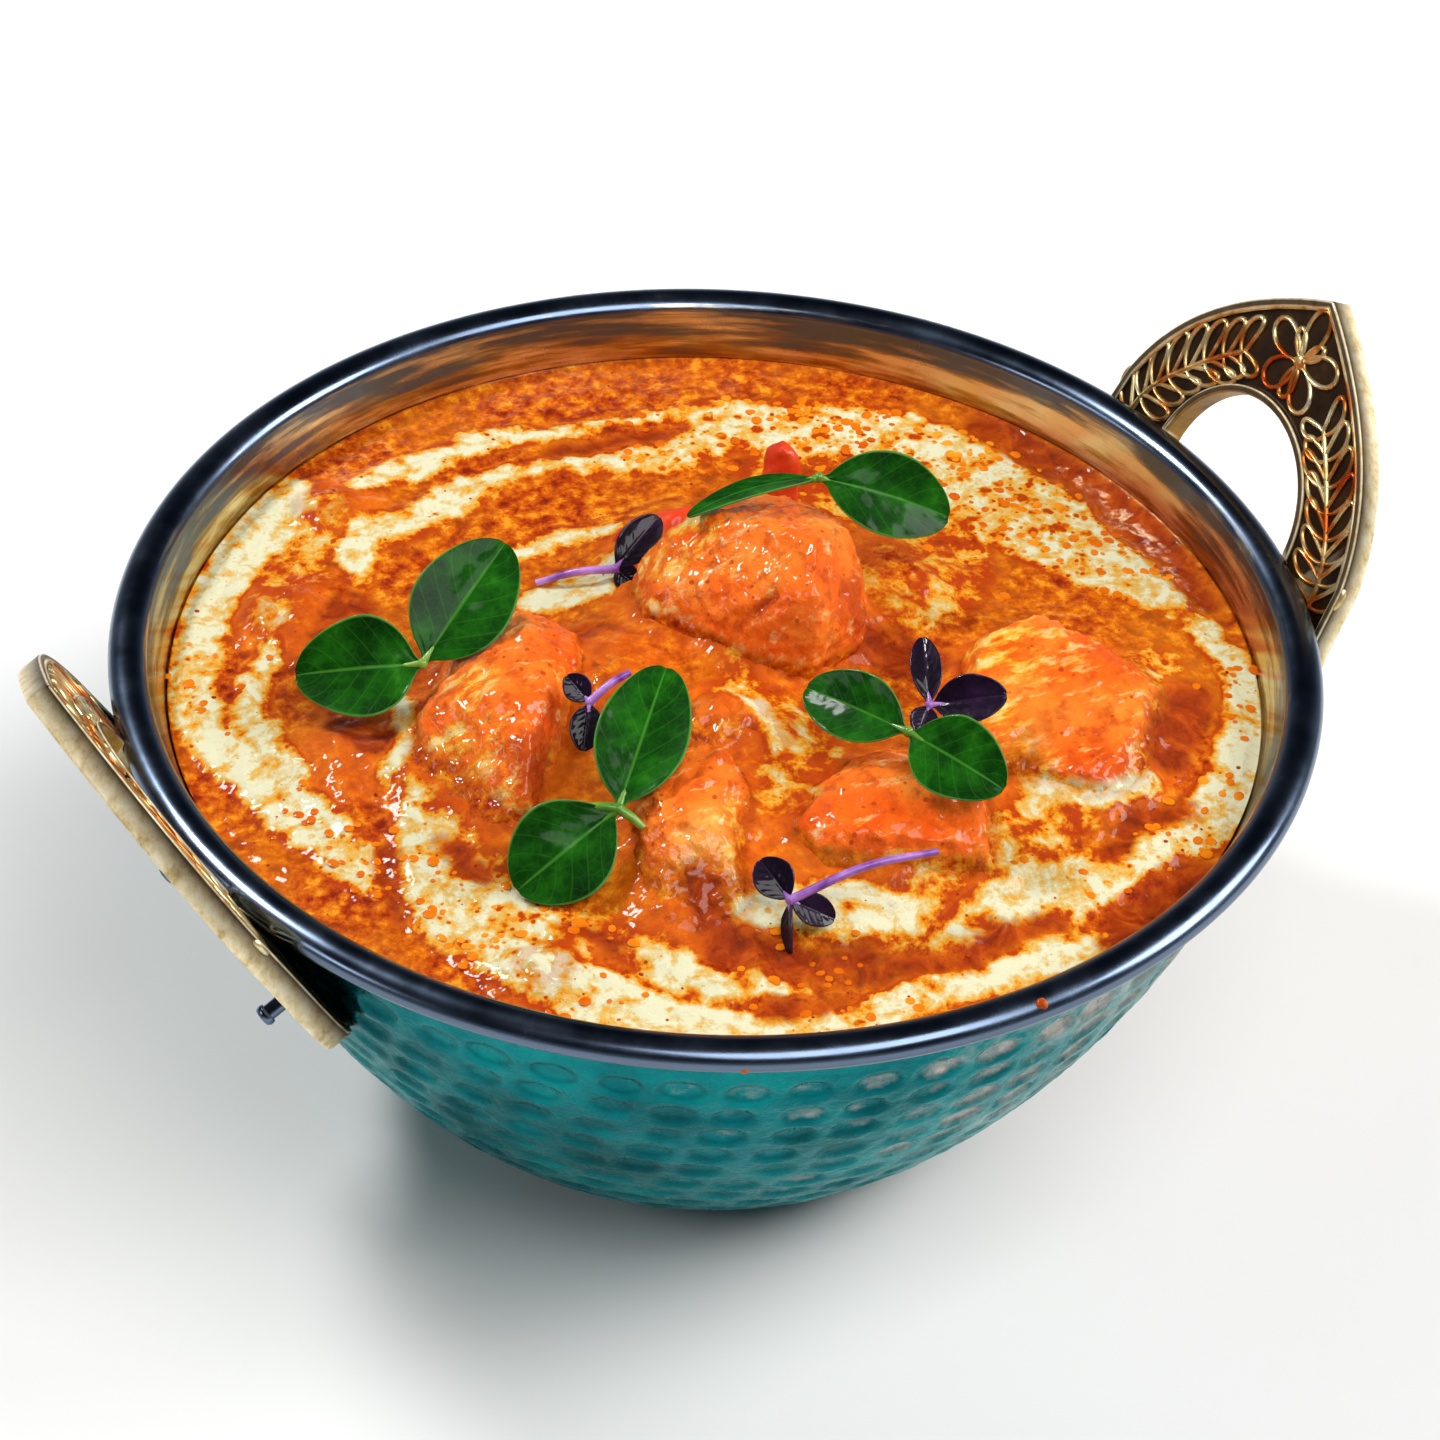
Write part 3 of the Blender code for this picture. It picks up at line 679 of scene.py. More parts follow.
def castBrass():
    # sand-cast brass: filed edges worn pale, brown tarnish left in the sunk field, olive-gold in the bore
    finish = newFinish("cast_brass_plate")
    place = addNode(finish, "TexCoord").outputs["Object"]
    hollow = addNode(finish, "Attribute", attribute_name="hollow").outputs["Fac"]
    bore = addNode(finish, "Attribute", attribute_name="bore").outputs["Fac"]
    blot = addNode(finish, "TexNoise", Vector=place, Scale=0.5 / (2.5 * mm), Detail=6, Roughness=0.65)
    drawn = addNode(finish, "Mapping", Vector=place, Scale=(1, 1, 0.6))
    file = addNode(finish, "TexNoise", Vector=drawn, Scale=0.5 / (0.8 * mm), Detail=6, Roughness=0.7)
    dark = addNode(finish, "ValToRGB", Fac=blot, stops=[
        (0.3, "#150c04"), (0.6, "#36210a"), (0.8, "#64441c")])
    pale = addNode(finish, "ValToRGB", Fac=file, stops=[
        (0.32, "#c4a670"), (0.46, "#ead4a4"), (0.6, "#faecc6"), (0.8, "#fff8e2")])
    gold = addNode(finish, "ValToRGB", Fac=blot, stops=[
        (0.3, "#5d4318"), (0.6, "#a97c30"), (0.8, "#d2a050")])
    colour = addNode(finish, "Mix", data_type="RGBA", Factor_Float=bore, A_Color=pale, B_Color=gold)
    colour = addNode(finish, "Mix", data_type="RGBA", Factor_Float=hollow, A_Color=colour, B_Color=dark)
    rough = addNode(finish, "ValToRGB", Fac=blot, stops=[(0.3, 0.32), (0.75, 0.55)])
    # sand grain of the mould, about 0.5 mm
    sand = addNode(finish, "TexNoise", Vector=place, Scale=0.5 / (0.5 * mm), Detail=4, Roughness=0.6)
    relief = addNode(finish, "Bump", Height=sand, Distance=0.06 * mm, Strength=0.8)
    return dress(finish, Base_Color=colour, Roughness=rough, Normal=relief, Metallic=0.35,
                 Specular_IOR_Level=0.2)


def rubbedBrass():
    # the ridges are rubbed bright by hands, copper-red where the tarnish is thin
    finish = newFinish("rubbed_brass_ridge")
    place = addNode(finish, "TexCoord").outputs["Object"]
    blot = addNode(finish, "TexNoise", Vector=place, Scale=0.5 / (3.5 * mm), Detail=4, Roughness=0.6)
    tone = addNode(finish, "ValToRGB", Fac=blot, stops=[
        (0.34, "#b8501a"), (0.44, "#c07a34"), (0.52, "#dcc286"), (0.66, "#f4ecc4")])
    sand = addNode(finish, "TexNoise", Vector=place, Scale=0.5 / (0.5 * mm), Detail=3, Roughness=0.6)
    relief = addNode(finish, "Bump", Height=sand, Distance=0.05 * mm, Strength=0.7)
    return dress(finish, Base_Color=tone, Normal=relief, Metallic=0.85, Roughness=0.36)


brass = castBrass()
goldRidge = rubbedBrass()
for which in ("right", "left"):
    makeHandle(which)
print("handles made")


# heights and reaches in mm; heap is the share of a chunk's height that the sauce over it rises
sauce = {"cells": 330, "inset": 1.78, "crown": 1.2, "heap": 0.30, "climb": 0.9, "climbReach": 2.2,
         "creamLift": 0.35, "oilSink": 0.3, "ripple": 0.30, "rippleSize": 3.2, "grainLift": 0.14,
         "grainSize": 1.3, "meniscus": 0.5, "meniscusReach": 0.7, "nearReach": 4, "droplets": 420,
         "dropletSizes": (0.42, 0.95), "flakes": 70, "flakeSizes": (0.3, 0.5), "flakeReach": 66, "seed": 12}
# cream swirls: places from the bowl's axis and half width, in mm
creamSwirls = [
    [(-32, 56, 3.0), (-38, 51, 4.2), (-48, 43, 3.6), (-54, 34, 3.4), (-60, 24, 3.0), (-61, 14, 3.2),
     (-59, 4, 3.2), (-57, -4, 3.6), (-55, -12, 3.6), (-54, -18, 2.4)],
    [(-48, 27, 1.4), (-54, 20, 1.9), (-56, 12, 1.7), (-56, 4, 1.8)],
    [(-24, 54, 2.0), (-15, 54, 2.4), (-5, 56, 2.0), (4, 54, 1.4), (14, 52, 1.1), (24, 50, 2.4),
     (34, 43, 3.6)],
    [(-33, 36, 1.4), (-29, 42, 3.0), (-20, 44, 2.6), (-11, 47, 2.4), (-2, 48, 1.8), (6, 45, 1.8),
     (14, 43, 2.8), (24, 44, 4.0), (32, 40, 5.0)],
    [(36, 40, 5.6), (44, 33, 7.0), (49, 24, 8.0), (52, 12, 8.0), (56, 0, 6.0), (60, -10, 3.2)],
    [(61, -16, 2.2), (60, -26, 2.4), (56, -35, 3.2), (50, -43, 3.8), (43, -48, 4.4), (34, -50, 3.4)],
    [(25, -38, 1.4), (31, -41, 2.6), (37, -41, 2.2)],
    [(34, -51, 2.6), (24, -52, 4.0), (15, -52, 4.8), (6, -54, 3.0)],
    [(26, -61, 2.0), (13, -62, 2.6), (1, -61, 3.0), (-12, -61, 3.2), (-24, -58, 2.8), (-33, -52, 3.4),
     (-41, -44, 3.8), (-46, -34, 3.6), (-49, -25, 3.0), (-48, -15, 2.8), (-44, -8, 1.8)],
    [(-45, -16, 3.2), (-43, -26, 3.8), (-39, -33, 3.0), (-33, -40, 2.2), (-29, -46, 2.6), (-20, -53, 2.2)],
    [(-43, 12, 1.2), (-39, 8, 1.6), (-42, 2, 1.6), (-45, -3, 1.2)],
    [(-14, 20, 3.0), (-8, 19, 3.4), (-3, 22, 2.4)],
    [(-3, -10, 1.0), (-1, -16, 1.8), (-3, -22, 1.2)],
    [(-14, 31, 1.4), (-6, 32, 2.0), (0, 30, 1.6)],
    [(-20, -43, 1.6), (-14, -44, 3.0), (-7, -46, 3.6), (0, -50, 3.0)],
]
# where the red oil has gathered, dark; the first band, along the right wall, is painted shade
oilAndShadePools = [
    [(56, 31, 2.6), (61, 21, 2.6), (64, 10, 2.2), (65, 0, 1.8), (64, -12, 1.2)],
    [(52, -28, 2.4), (47, -33, 3.0), (42, -38, 2.0)],
    [(35, -57, 3.0), (28, -59, 3.2), (21, -62, 1.8)],
    [(40, -46, 1.2), (34, -46, 1.6), (28, -49, 1.0)],
    [(-21, -38, 1.6), (-22, -45, 2.0), (-17, -50, 1.8), (-8, -53, 1.6)],
    [(-22, -56, 0.9), (-14, -58, 0.9)],
    [(-10, -55, 0.9), (0, -57, 1.1)],
    [(3, -58, 1.0), (9, -56, 1.3), (15, -56, 0.9)],
    [(-36, 30, 3.0), (-42, 22, 2.6), (-46, 12, 2.0), (-45, 3, 2.2)],
    [(-44, -17, 1.0), (-43, -22, 1.4)],
    [(-37, -35, 1.0), (-34, -40, 1.2)],
    [(-51, -14, 0.9), (-54, -24, 0.6)],
    [(2, 50, 0.8), (10, 49, 1.0), (16, 48, 0.8)],
    [(-22, 6, 3.0), (-14, 10, 2.0)],
    [(18, -6, 4.0), (24, -10, 3.0)],
]
# where the cream has broken into beads of oil: place, radius and how thickly
beadFields = [(38, 36, 22, 1.0), (54, 10, 18, 0.9), (22, 46, 14, 0.7), (-54, -12, 12, 0.7),
              (-45, -34, 14, 0.75), (32, -50, 16, 0.55), (-58, 24, 10, 0.45), (-15, -58, 12, 0.5),
              (56, -28, 10, 0.5)]
# cream that has half mixed into the gravy, amber
amberSwirls = [
    [(26, 34, 4.0), (34, 24, 6.0), (38, 13, 6.0), (35, 2, 5.0), (27, -2, 3.0)],
    [(20, 12, 3.0), (26, 0, 3.0), (22, -8, 2.0)],
    [(12, -46, 3.0), (22, -42, 5.0), (32, -37, 6.0), (42, -33, 5.0), (50, -22, 4.0)],
    [(-44, -12, 2.0), (-42, -24, 4.0), (-38, -34, 4.0), (-31, -42, 3.0)],
    [(0, -4, 2.0), (-2, -12, 4.0), (1, -20, 4.6), (-4, -28, 4.6)],
    [(0, -50, 3.0), (6, -44, 4.0), (2, -36, 3.0)],
    [(-26, -50, 3.0), (-12, -52, 3.6), (2, -54, 3.6), (16, -57, 3.0)],
    [(-18, 8, 2.0), (-24, 14, 3.0), (-30, 14, 2.0)],
    [(-30, 50, 3.0), (-38, 42, 4.0), (-46, 32, 3.0)],
]


def strokeField(points, strokes):
    # signed distance in mm: positive inside a stroke, and -9 far from all of them
    best = np.full(len(points), -9.0)
    for stroke in strokes:
        for x, y, half in throughPoints(stroke, 8):
            best = np.maximum(best, half - np.hypot(points[:, 0] - x, points[:, 1] - y))
    return best


def sauceHeight(x, y):
    # the smooth lie of the sauce: crowned, and heaped over the chunks
    spread = np.hypot(x, y) / (bowl["rimRadius"] * mm)
    height = sauceLevel + sauce["crown"] * mm * np.clip(1 - spread ** 4, 0, 1)
    for name in creaminess:
        low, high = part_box(name)
        middle = (low + high) / 2
        reach = ((high.x - low.x) + (high.y - low.y)) / 4
        near = np.hypot(x - middle.x, y - middle.y) / reach
        rise = sauce["heap"] * (high.z - sauceLevel)
        height += rise * np.exp(-(near ** 2) / 1.3) * np.clip(1 - spread ** 8, 0, 1)
    return height


def sauceFields(x, y):
    # cream, red oil (with painted shade along the right wall) and beads at each place, after the swirling has
    # dragged them into ragged bands
    flat = np.stack([x, y, np.zeros_like(x)], 1)
    warp = np.stack([cloud(flat, 9 * mm, 31, 3), cloud(flat, 9 * mm, 32, 3)], 1) * 1.2
    warp += np.stack([cloud(flat, 2.6 * mm, 33, 3), cloud(flat, 2.6 * mm, 34, 3)], 1) * 0.7
    bent = flat[:, :2] / mm + warp
    cream = fit(strokeField(bent, creamSwirls), -1.5, 1.1)
    cream = np.maximum(cream, fit(strokeField(bent, amberSwirls), -3.0, 1.5) * 0.52)
    oil = fit(strokeField(bent, oilAndShadePools), -2.0, 1.2)
    beads = np.full(len(x), 0.12)
    for across, up, radius, thick in beadFields:
        away = np.hypot(x / mm - across, y / mm - up) / radius
        beads = np.maximum(beads, thick * np.exp(-away ** 2 * 0.8))
    return cream, oil, beads


def sauceColour(finish, place):
    # tomato and butter gravy with cream poured over it; the cream breaks into beads of orange oil
    cream, oil, beads, near = (addNode(finish, "Attribute", attribute_name=name).outputs["Fac"]
                               for name in ("cream", "oil", "beads", "near"))
    coarse = addNode(finish, "TexNoise", Vector=place, Scale=0.5 / (4.2 * mm), Detail=5, Roughness=0.6)
    marble = addNode(finish, "TexNoise", Vector=place, Scale=0.5 / (2.2 * mm), Detail=5, Roughness=0.62,
                     Distortion=0.8)
    fine = addNode(finish, "TexNoise", Vector=place, Scale=0.5 / (1.1 * mm), Detail=6, Roughness=0.68)
    # how far the cream reaches, ragged at its edge and gone where the red oil gathers and along the painted
    # shade by the right wall
    edge = addNode(finish, "Math", operation="MULTIPLY_ADD", Value=coarse, Value_001=0.7, Value_002=cream)
    edge = addNode(finish, "Math", operation="MULTIPLY_ADD", Value=fine, Value_001=1.1, Value_002=edge)
    edge = addNode(finish, "Math", operation="MULTIPLY_ADD", Value=oil, Value_001=-0.8, Value_002=edge)
    edge = addNode(finish, "Math", operation="SUBTRACT", Value=edge, Value_001=0.9)
    share = addNode(finish, "ValToRGB", Fac=edge, stops=[(0.22, 0.0), (0.40, 0.85), (0.55, 1.0)])
    # how much cream there is, less where the gravy has mixed into it
    amount = addNode(finish, "Math", operation="MULTIPLY_ADD", Value=marble, Value_001=2.0, Value_002=-1.62)
    amount = addNode(finish, "Math", operation="MULTIPLY_ADD", Value=fine, Value_001=0.7, Value_002=amount)
    amount = addNode(finish, "Math", operation="MULTIPLY_ADD", Value=edge, Value_001=1.05, Value_002=amount)
    amount = addNode(finish, "Math", operation="MULTIPLY_ADD", Value=beads, Value_001=-0.24,
                     Value_002=amount)
    # beads of two sizes, about 2 mm and 1 mm across, each cell with its own radius
    for size, weight, reach in ((2.7, 0.30, 0.22), (1.25, 0.42, 0.22)):
        spots = addNode(finish, "TexVoronoi", Vector=place, Scale=1 / (size * mm))
        radius = addNode(finish, "Math", operation="MULTIPLY_ADD", Value=beads, Value_001=0.33,
                         Value_002=reach)
        own = addNode(finish, "Math", operation="MULTIPLY_ADD", Value=spots.outputs["Color"],
                      Value_001=weight, Value_002=spots.outputs["Distance"])
        inside = addNode(finish, "Math", operation="SUBTRACT", Value=radius, Value_001=own)
        inside = addNode(finish, "Math", operation="MULTIPLY", Value=inside, Value_001=7.0, use_clamp=True)
        amount = addNode(finish, "Math", operation="MULTIPLY_ADD", Value=inside, Value_001=-0.45,
                         Value_002=amount)
    creamTone = addNode(finish, "ValToRGB", Fac=amount, stops=[
        (0.04, "#b03a03"), (0.16, "#cc5e06"), (0.28, "#dc840c"), (0.40, "#e0a030"), (0.56, "#d8b468"),
        (0.84, "#dedab6")])
    gravy = addNode(finish, "ValToRGB", Fac=fine, stops=[
        (0.36, "#7c1c00"), (0.44, "#a43201"), (0.50, "#be4e02"), (0.56, "#d26806"), (0.65, "#f09a20")])
    # the gravy itself turns from red to amber over about 8 mm
    broad = addNode(finish, "TexNoise", Vector=place, Scale=0.5 / (8 * mm), Detail=4, Roughness=0.55)
    amber = addNode(finish, "ValToRGB", Fac=broad, stops=[(0.42, 0.0), (0.68, 0.45)])
    gravy = addNode(finish, "Mix", data_type="RGBA", Factor_Float=amber, A_Color=gravy, B_Color="#da7c0e")
    # beside a chunk the gravy is thicker and has taken up its orange
    beside = addNode(finish, "ValToRGB", Fac=near, stops=[(0.10, 0.0), (0.60, 0.45)])
    gravy = addNode(finish, "Mix", data_type="RGBA", Factor_Float=beside, A_Color=gravy, B_Color="#ee6e14")
    colour = addNode(finish, "Mix", data_type="RGBA", Factor_Float=share, A_Color=gravy, B_Color=creamTone)
    # dark red oil, browner where it is thick; the band by the right wall is painted shade in the same tones
    pool = addNode(finish, "Math", operation="MULTIPLY_ADD", Value=fine, Value_001=1.8, Value_002=oil)
    pool = addNode(finish, "Math", operation="MULTIPLY_ADD", Value=coarse, Value_001=0.8, Value_002=pool)
    pool = addNode(finish, "Math", operation="SUBTRACT", Value=pool, Value_001=1.3)
    poolTone = addNode(finish, "ValToRGB", Fac=marble, stops=[
        (0.35, "#6e1a02"), (0.5, "#9a3003"), (0.65, "#c2500a")])
    pool = addNode(finish, "ValToRGB", Fac=pool, stops=[(0.30, 0.0), (0.8, 0.92)])
    colour = addNode(finish, "Mix", data_type="RGBA", Factor_Float=pool, A_Color=colour, B_Color=poolTone)
    # pepper and spice, ground to about 0.4 mm
    spice = addNode(finish, "TexVoronoi", Vector=place, Scale=1 / (1.5 * mm))
    spice = addNode(finish, "Math", operation="MULTIPLY_ADD", Value=spice.outputs["Color"], Value_001=0.5,
                    Value_002=spice.outputs["Distance"])
    spice = addNode(finish, "ValToRGB", Fac=spice, stops=[(0.16, 0.85), (0.21, 0.0)])
    colour = addNode(finish, "Mix", data_type="RGBA", Factor_Float=spice, A_Color=colour, B_Color="#862604")
    # painted shade: the very fold where the sauce meets a chunk is darker
    fold = addNode(finish, "ValToRGB", Fac=near, stops=[(0.80, 0.0), (1.0, 0.35)])
    colour = addNode(finish, "Mix", data_type="RGBA", Factor_Float=fold, A_Color=colour, B_Color="#b23c04")
    return colour, fine


def makhaniSauce():
    # a thick gravy: matt and grainy under a thin film of oil
    finish = newFinish("makhani_sauce_with_cream")
    place = addNode(finish, "TexCoord").outputs["Object"]
    colour, fine = sauceColour(finish, place)
    rough = addNode(finish, "Bump", Height=fine, Distance=0.45 * mm, Strength=1.0)
    tiny = addNode(finish, "TexNoise", Vector=place, Scale=0.5 / (0.5 * mm), Detail=4, Roughness=0.6)
    relief = addNode(finish, "Bump", Height=tiny, Distance=0.12 * mm, Strength=0.8, Normal=rough)
    # the oily film bridges the grain, so its glints are larger than the grain, about 1.2 mm
    swell = addNode(finish, "TexNoise", Vector=place, Scale=0.5 / (1.2 * mm), Detail=1, Roughness=0.4)
    film = addNode(finish, "Bump", Height=swell, Distance=0.42 * mm, Strength=1.0)
    return dress(finish, Base_Color=colour, Normal=relief, Roughness=0.5, Specular_IOR_Level=0.08,
                 Subsurface_Weight=0.05, Subsurface_Radius=(1.0, 0.4, 0.2), Subsurface_Scale=0.6 * mm,
                 Coat_Weight=0.30, Coat_Roughness=0.07, Coat_Normal=film)


# small is the least side below which a piece gets smallVoxel and half the lumps; slit is a tear in the back
# chunk's side, from and to a place from the bowl's axis and the sauce's level; skirt is how far the sauce has
# run up a chunk
chunkLook = {"voxel": 0.52, "smallVoxel": 0.45, "small": 13, "relax": 6, "lump": 0.30, "lumpSize": 7,
             "fold": 0.34, "foldSize": 2.8, "fibre": 0.20, "fibreSize": 1.3, "cutEdge": 0.22,
             "slit": ((2, -4, 13.2), (5, -4, 15.6)), "slitWidth": 0.9, "slitDepth": 1.1, "skirt": 4.5}
# cuts press a chunk flat: the way each cut faces, and how much of the chunk's reach that way it leaves
chunkCuts = {
    "chicken_back": [((-0.55, -0.20, 0.81), 0.84), ((0.62, -0.60, 0.50), 0.84), ((-0.70, -0.66, 0.25), 0.88),
                     ((0.20, 0.30, 0.93), 0.90)],
    "chicken_left": [((-0.59, -0.20, 0.78), 0.74), ((0.72, -0.62, 0.32), 0.66),
                     ((-0.45, -0.80, 0.38), 0.84)],
    "chicken_front": [((-0.30, -0.55, 0.78), 0.76), ((-0.95, 0.25, 0.18), 0.84),
                      ((0.70, -0.50, 0.50), 0.84)],
    "chicken_front_right": [((0.02, -0.20, 0.98), 0.80), ((-0.35, -0.85, 0.40), 0.78),
                            ((0.80, -0.45, 0.40), 0.80)],
    "chicken_right": [((-0.05, -0.15, 0.99), 0.68), ((-0.45, -0.75, 0.48), 0.80),
                      ((0.65, -0.55, 0.52), 0.80)],
    "chicken_middle": [((-0.20, -0.40, 0.89), 0.85)],
    "chicken_inner": [((-0.20, -0.50, 0.84), 0.88)],
    "red_pepper_tip": [((0, 0, 1), 0.93), ((0.5, -0.3, 0.8), 0.88), ((-0.5, 0.3, 0.8), 0.88)],
}
# chunks that the sauce covers
underSauce = ("chicken_back_right", "chicken_far_left", "chicken_near_left", "chicken_corner",
              "chicken_back_left")
# how much cream lies all over each chunk
creaminess = {"chicken_back": 0.0, "chicken_left": 0.0, "chicken_front": 0.0, "chicken_front_right": 0.05,
              "chicken_right": 0.22, "chicken_middle": 0.20, "chicken_inner": 0.0,
              "chicken_back_right": 0.45, "chicken_far_left": 0.40, "chicken_near_left": 0.05,
              "chicken_corner": 0.05, "chicken_back_left": 0.55, "red_pepper_tip": 0.0,
              "red_pepper_strip": 0.0}
# patches of cream, and dark patches of sauce and of painted shade, on the chunks: place from the bowl's axis,
# height above the sauce and radius, in mm
creamPatches = [(0, 11, 16, 6), (-5, 10, 8, 5), (-3, 12, 12, 4), (-33, 1, 11, 4.5), (-39, -7, 10, 6),
                (-43, -12, 6, 5.5), (-37, -17, 8, 4), (-23, -41, 7, 5), (-17, -40, 6, 5), (-27, -36, 2, 3),
                (-13, -33, 8, 4), (-3, -23, 6, 5), (-8, -20, 8, 4), (-4, -45, 3, 5), (4, -47, 5, 5),
                (-7, -41, 5, 3.5), (30, -17, 10, 6), (46, -11, 5, 6), (52, -20, 3, 6), (24, -27, 10, 4),
                (22, -37, 9, 6), (26, 8, 5, 6), (27, 0, 5, 5), (-22, -2, 12, 2.5)]
darkSauceAndShadePatches = [(-10, -3, 5, 5), (-8, 6, 4, 5), (-31, -14, 9, 5), (-40, -14, 5, 4), (-23, -8, 8, 4),
               (-27, -30, 4, 4), (47, -36, 3, 5), (50, -28, 2, 5), (39, -40, 2, 5), (-5, -10, 8, 4),
               (16, -5, 10, 4), (-39, -19, 3, 4), (-9, -33, 5, 3.5), (20, 0, 3, 6), (-33, -22, 2, 5)]


def makeChunk(name, seed):
    # a copy of the solid, remeshed finely, cut flat, with lumps, folds and fibres pressed into its skin
    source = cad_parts[name]
    piece = bpy.data.objects.new(name + "_visual", source.data.copy())
    scene.collection.objects.link(piece)
    piece.data.materials.clear()
    pick(piece)
    bpy.ops.object.mode_set(mode="EDIT")
    bpy.ops.mesh.select_all(action="SELECT")
    bpy.ops.mesh.remove_doubles(threshold=0.01 * mm)
    bpy.ops.object.mode_set(mode="OBJECT")
    low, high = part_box(name)
    small = min(high - low) < chunkLook["small"] * mm
    remesh = piece.modifiers.new("skin", "REMESH")
    remesh.mode = "VOXEL"
    remesh.voxel_size = chunkLook["smallVoxel" if small else "voxel"] * mm
    relax = piece.modifiers.new("relax", "SMOOTH")
    relax.factor = 0.5
    relax.iterations = chunkLook["relax"]
    applyAll(piece)
    points = coords(piece)
    middle = np.array((low + high) / 2)
    for way, kept in chunkCuts.get(name, []):
        way = np.array(way) / np.linalg.norm(way)
        reach = (points - middle) @ way
        limit = reach.max() * kept
        over = np.clip((reach - limit) / (chunkLook["cutEdge"] * mm), -30, 30)
        points = points - np.outer(np.log1p(np.exp(over)) * chunkLook["cutEdge"] * mm * (reach > 0), way)
    moveTo(piece, points)
    relax = piece.modifiers.new("relax", "SMOOTH")
    relax.factor = 0.5
    relax.iterations = 1
    applyAll(piece)
    points = coords(piece)
    ways = normals(piece)
    share = 0.5 if small else 1.0
    lumps = cloud(points, chunkLook["lumpSize"] * mm, seed, 3) * chunkLook["lump"] * share
    folds = (1 - np.abs(cloud(points, chunkLook["foldSize"] * mm, seed + 3, 3)) * 2) * chunkLook["fold"]
    drawn = points @ np.array(Matrix.Rotation(seed * 0.7, 3, "Z")) * np.array((0.35, 1.6, 1.0))
    fibres = cloud(drawn, chunkLook["fibreSize"] * mm, seed + 5, 2) * chunkLook["fibre"]
    depth = lumps + folds * share + fibres
    local = points / mm - np.array((0, 0, sauceLevel / mm))
    if name == "chicken_back":
        start, end = (np.array(spot) for spot in chunkLook["slit"])
        along = np.clip((local - start) @ (end - start) / ((end - start) @ (end - start)), 0, 1)
        away = np.linalg.norm(local - start - np.outer(along, end - start), axis=1)
        slit = np.exp(-(away / chunkLook["slitWidth"]) ** 2)
        depth -= slit * chunkLook["slitDepth"]
    else:
        slit = np.zeros(len(points))
    moveTo(piece, points + ways * (depth * mm)[:, None])
    smooth(piece, 180)

    rough = cloud(points, 4 * mm, seed + 11, 4)
    fields = []
    for patches in (creamPatches, darkSauceAndShadePatches):
        field = np.zeros(len(points))
        for x, y, up, radius in patches:
            away = np.linalg.norm(local - np.array((x, y, up)), axis=1) / radius
            field = np.maximum(field, np.exp(-away ** 2))
        fields.append(field)
    paint(piece, "coat", np.clip(creaminess[name] + fields[0] + rough * 0.45 - 0.15, 0, 1))
    cream, oil, beads = sauceFields(points[:, 0], points[:, 1])
    above = (points[:, 2] - sauceHeight(points[:, 0], points[:, 1])) / mm
    paint(piece, "cream", cream)
    paint(piece, "oil", oil)
    paint(piece, "beads", beads)
    paint(piece, "near", ease(-above, -1.2, 0.0) * 0.8)
    paint(piece, "skirt", ease(-above, -chunkLook["skirt"], -0.3))
    # dark is dark sauce and painted shade in the patches, and painted shade in the slit
    paint(piece, "dark", np.clip(fields[1] * 0.9 + slit * 1.5 - rough * 0.35 - 0.05, 0, 1))
    return piece


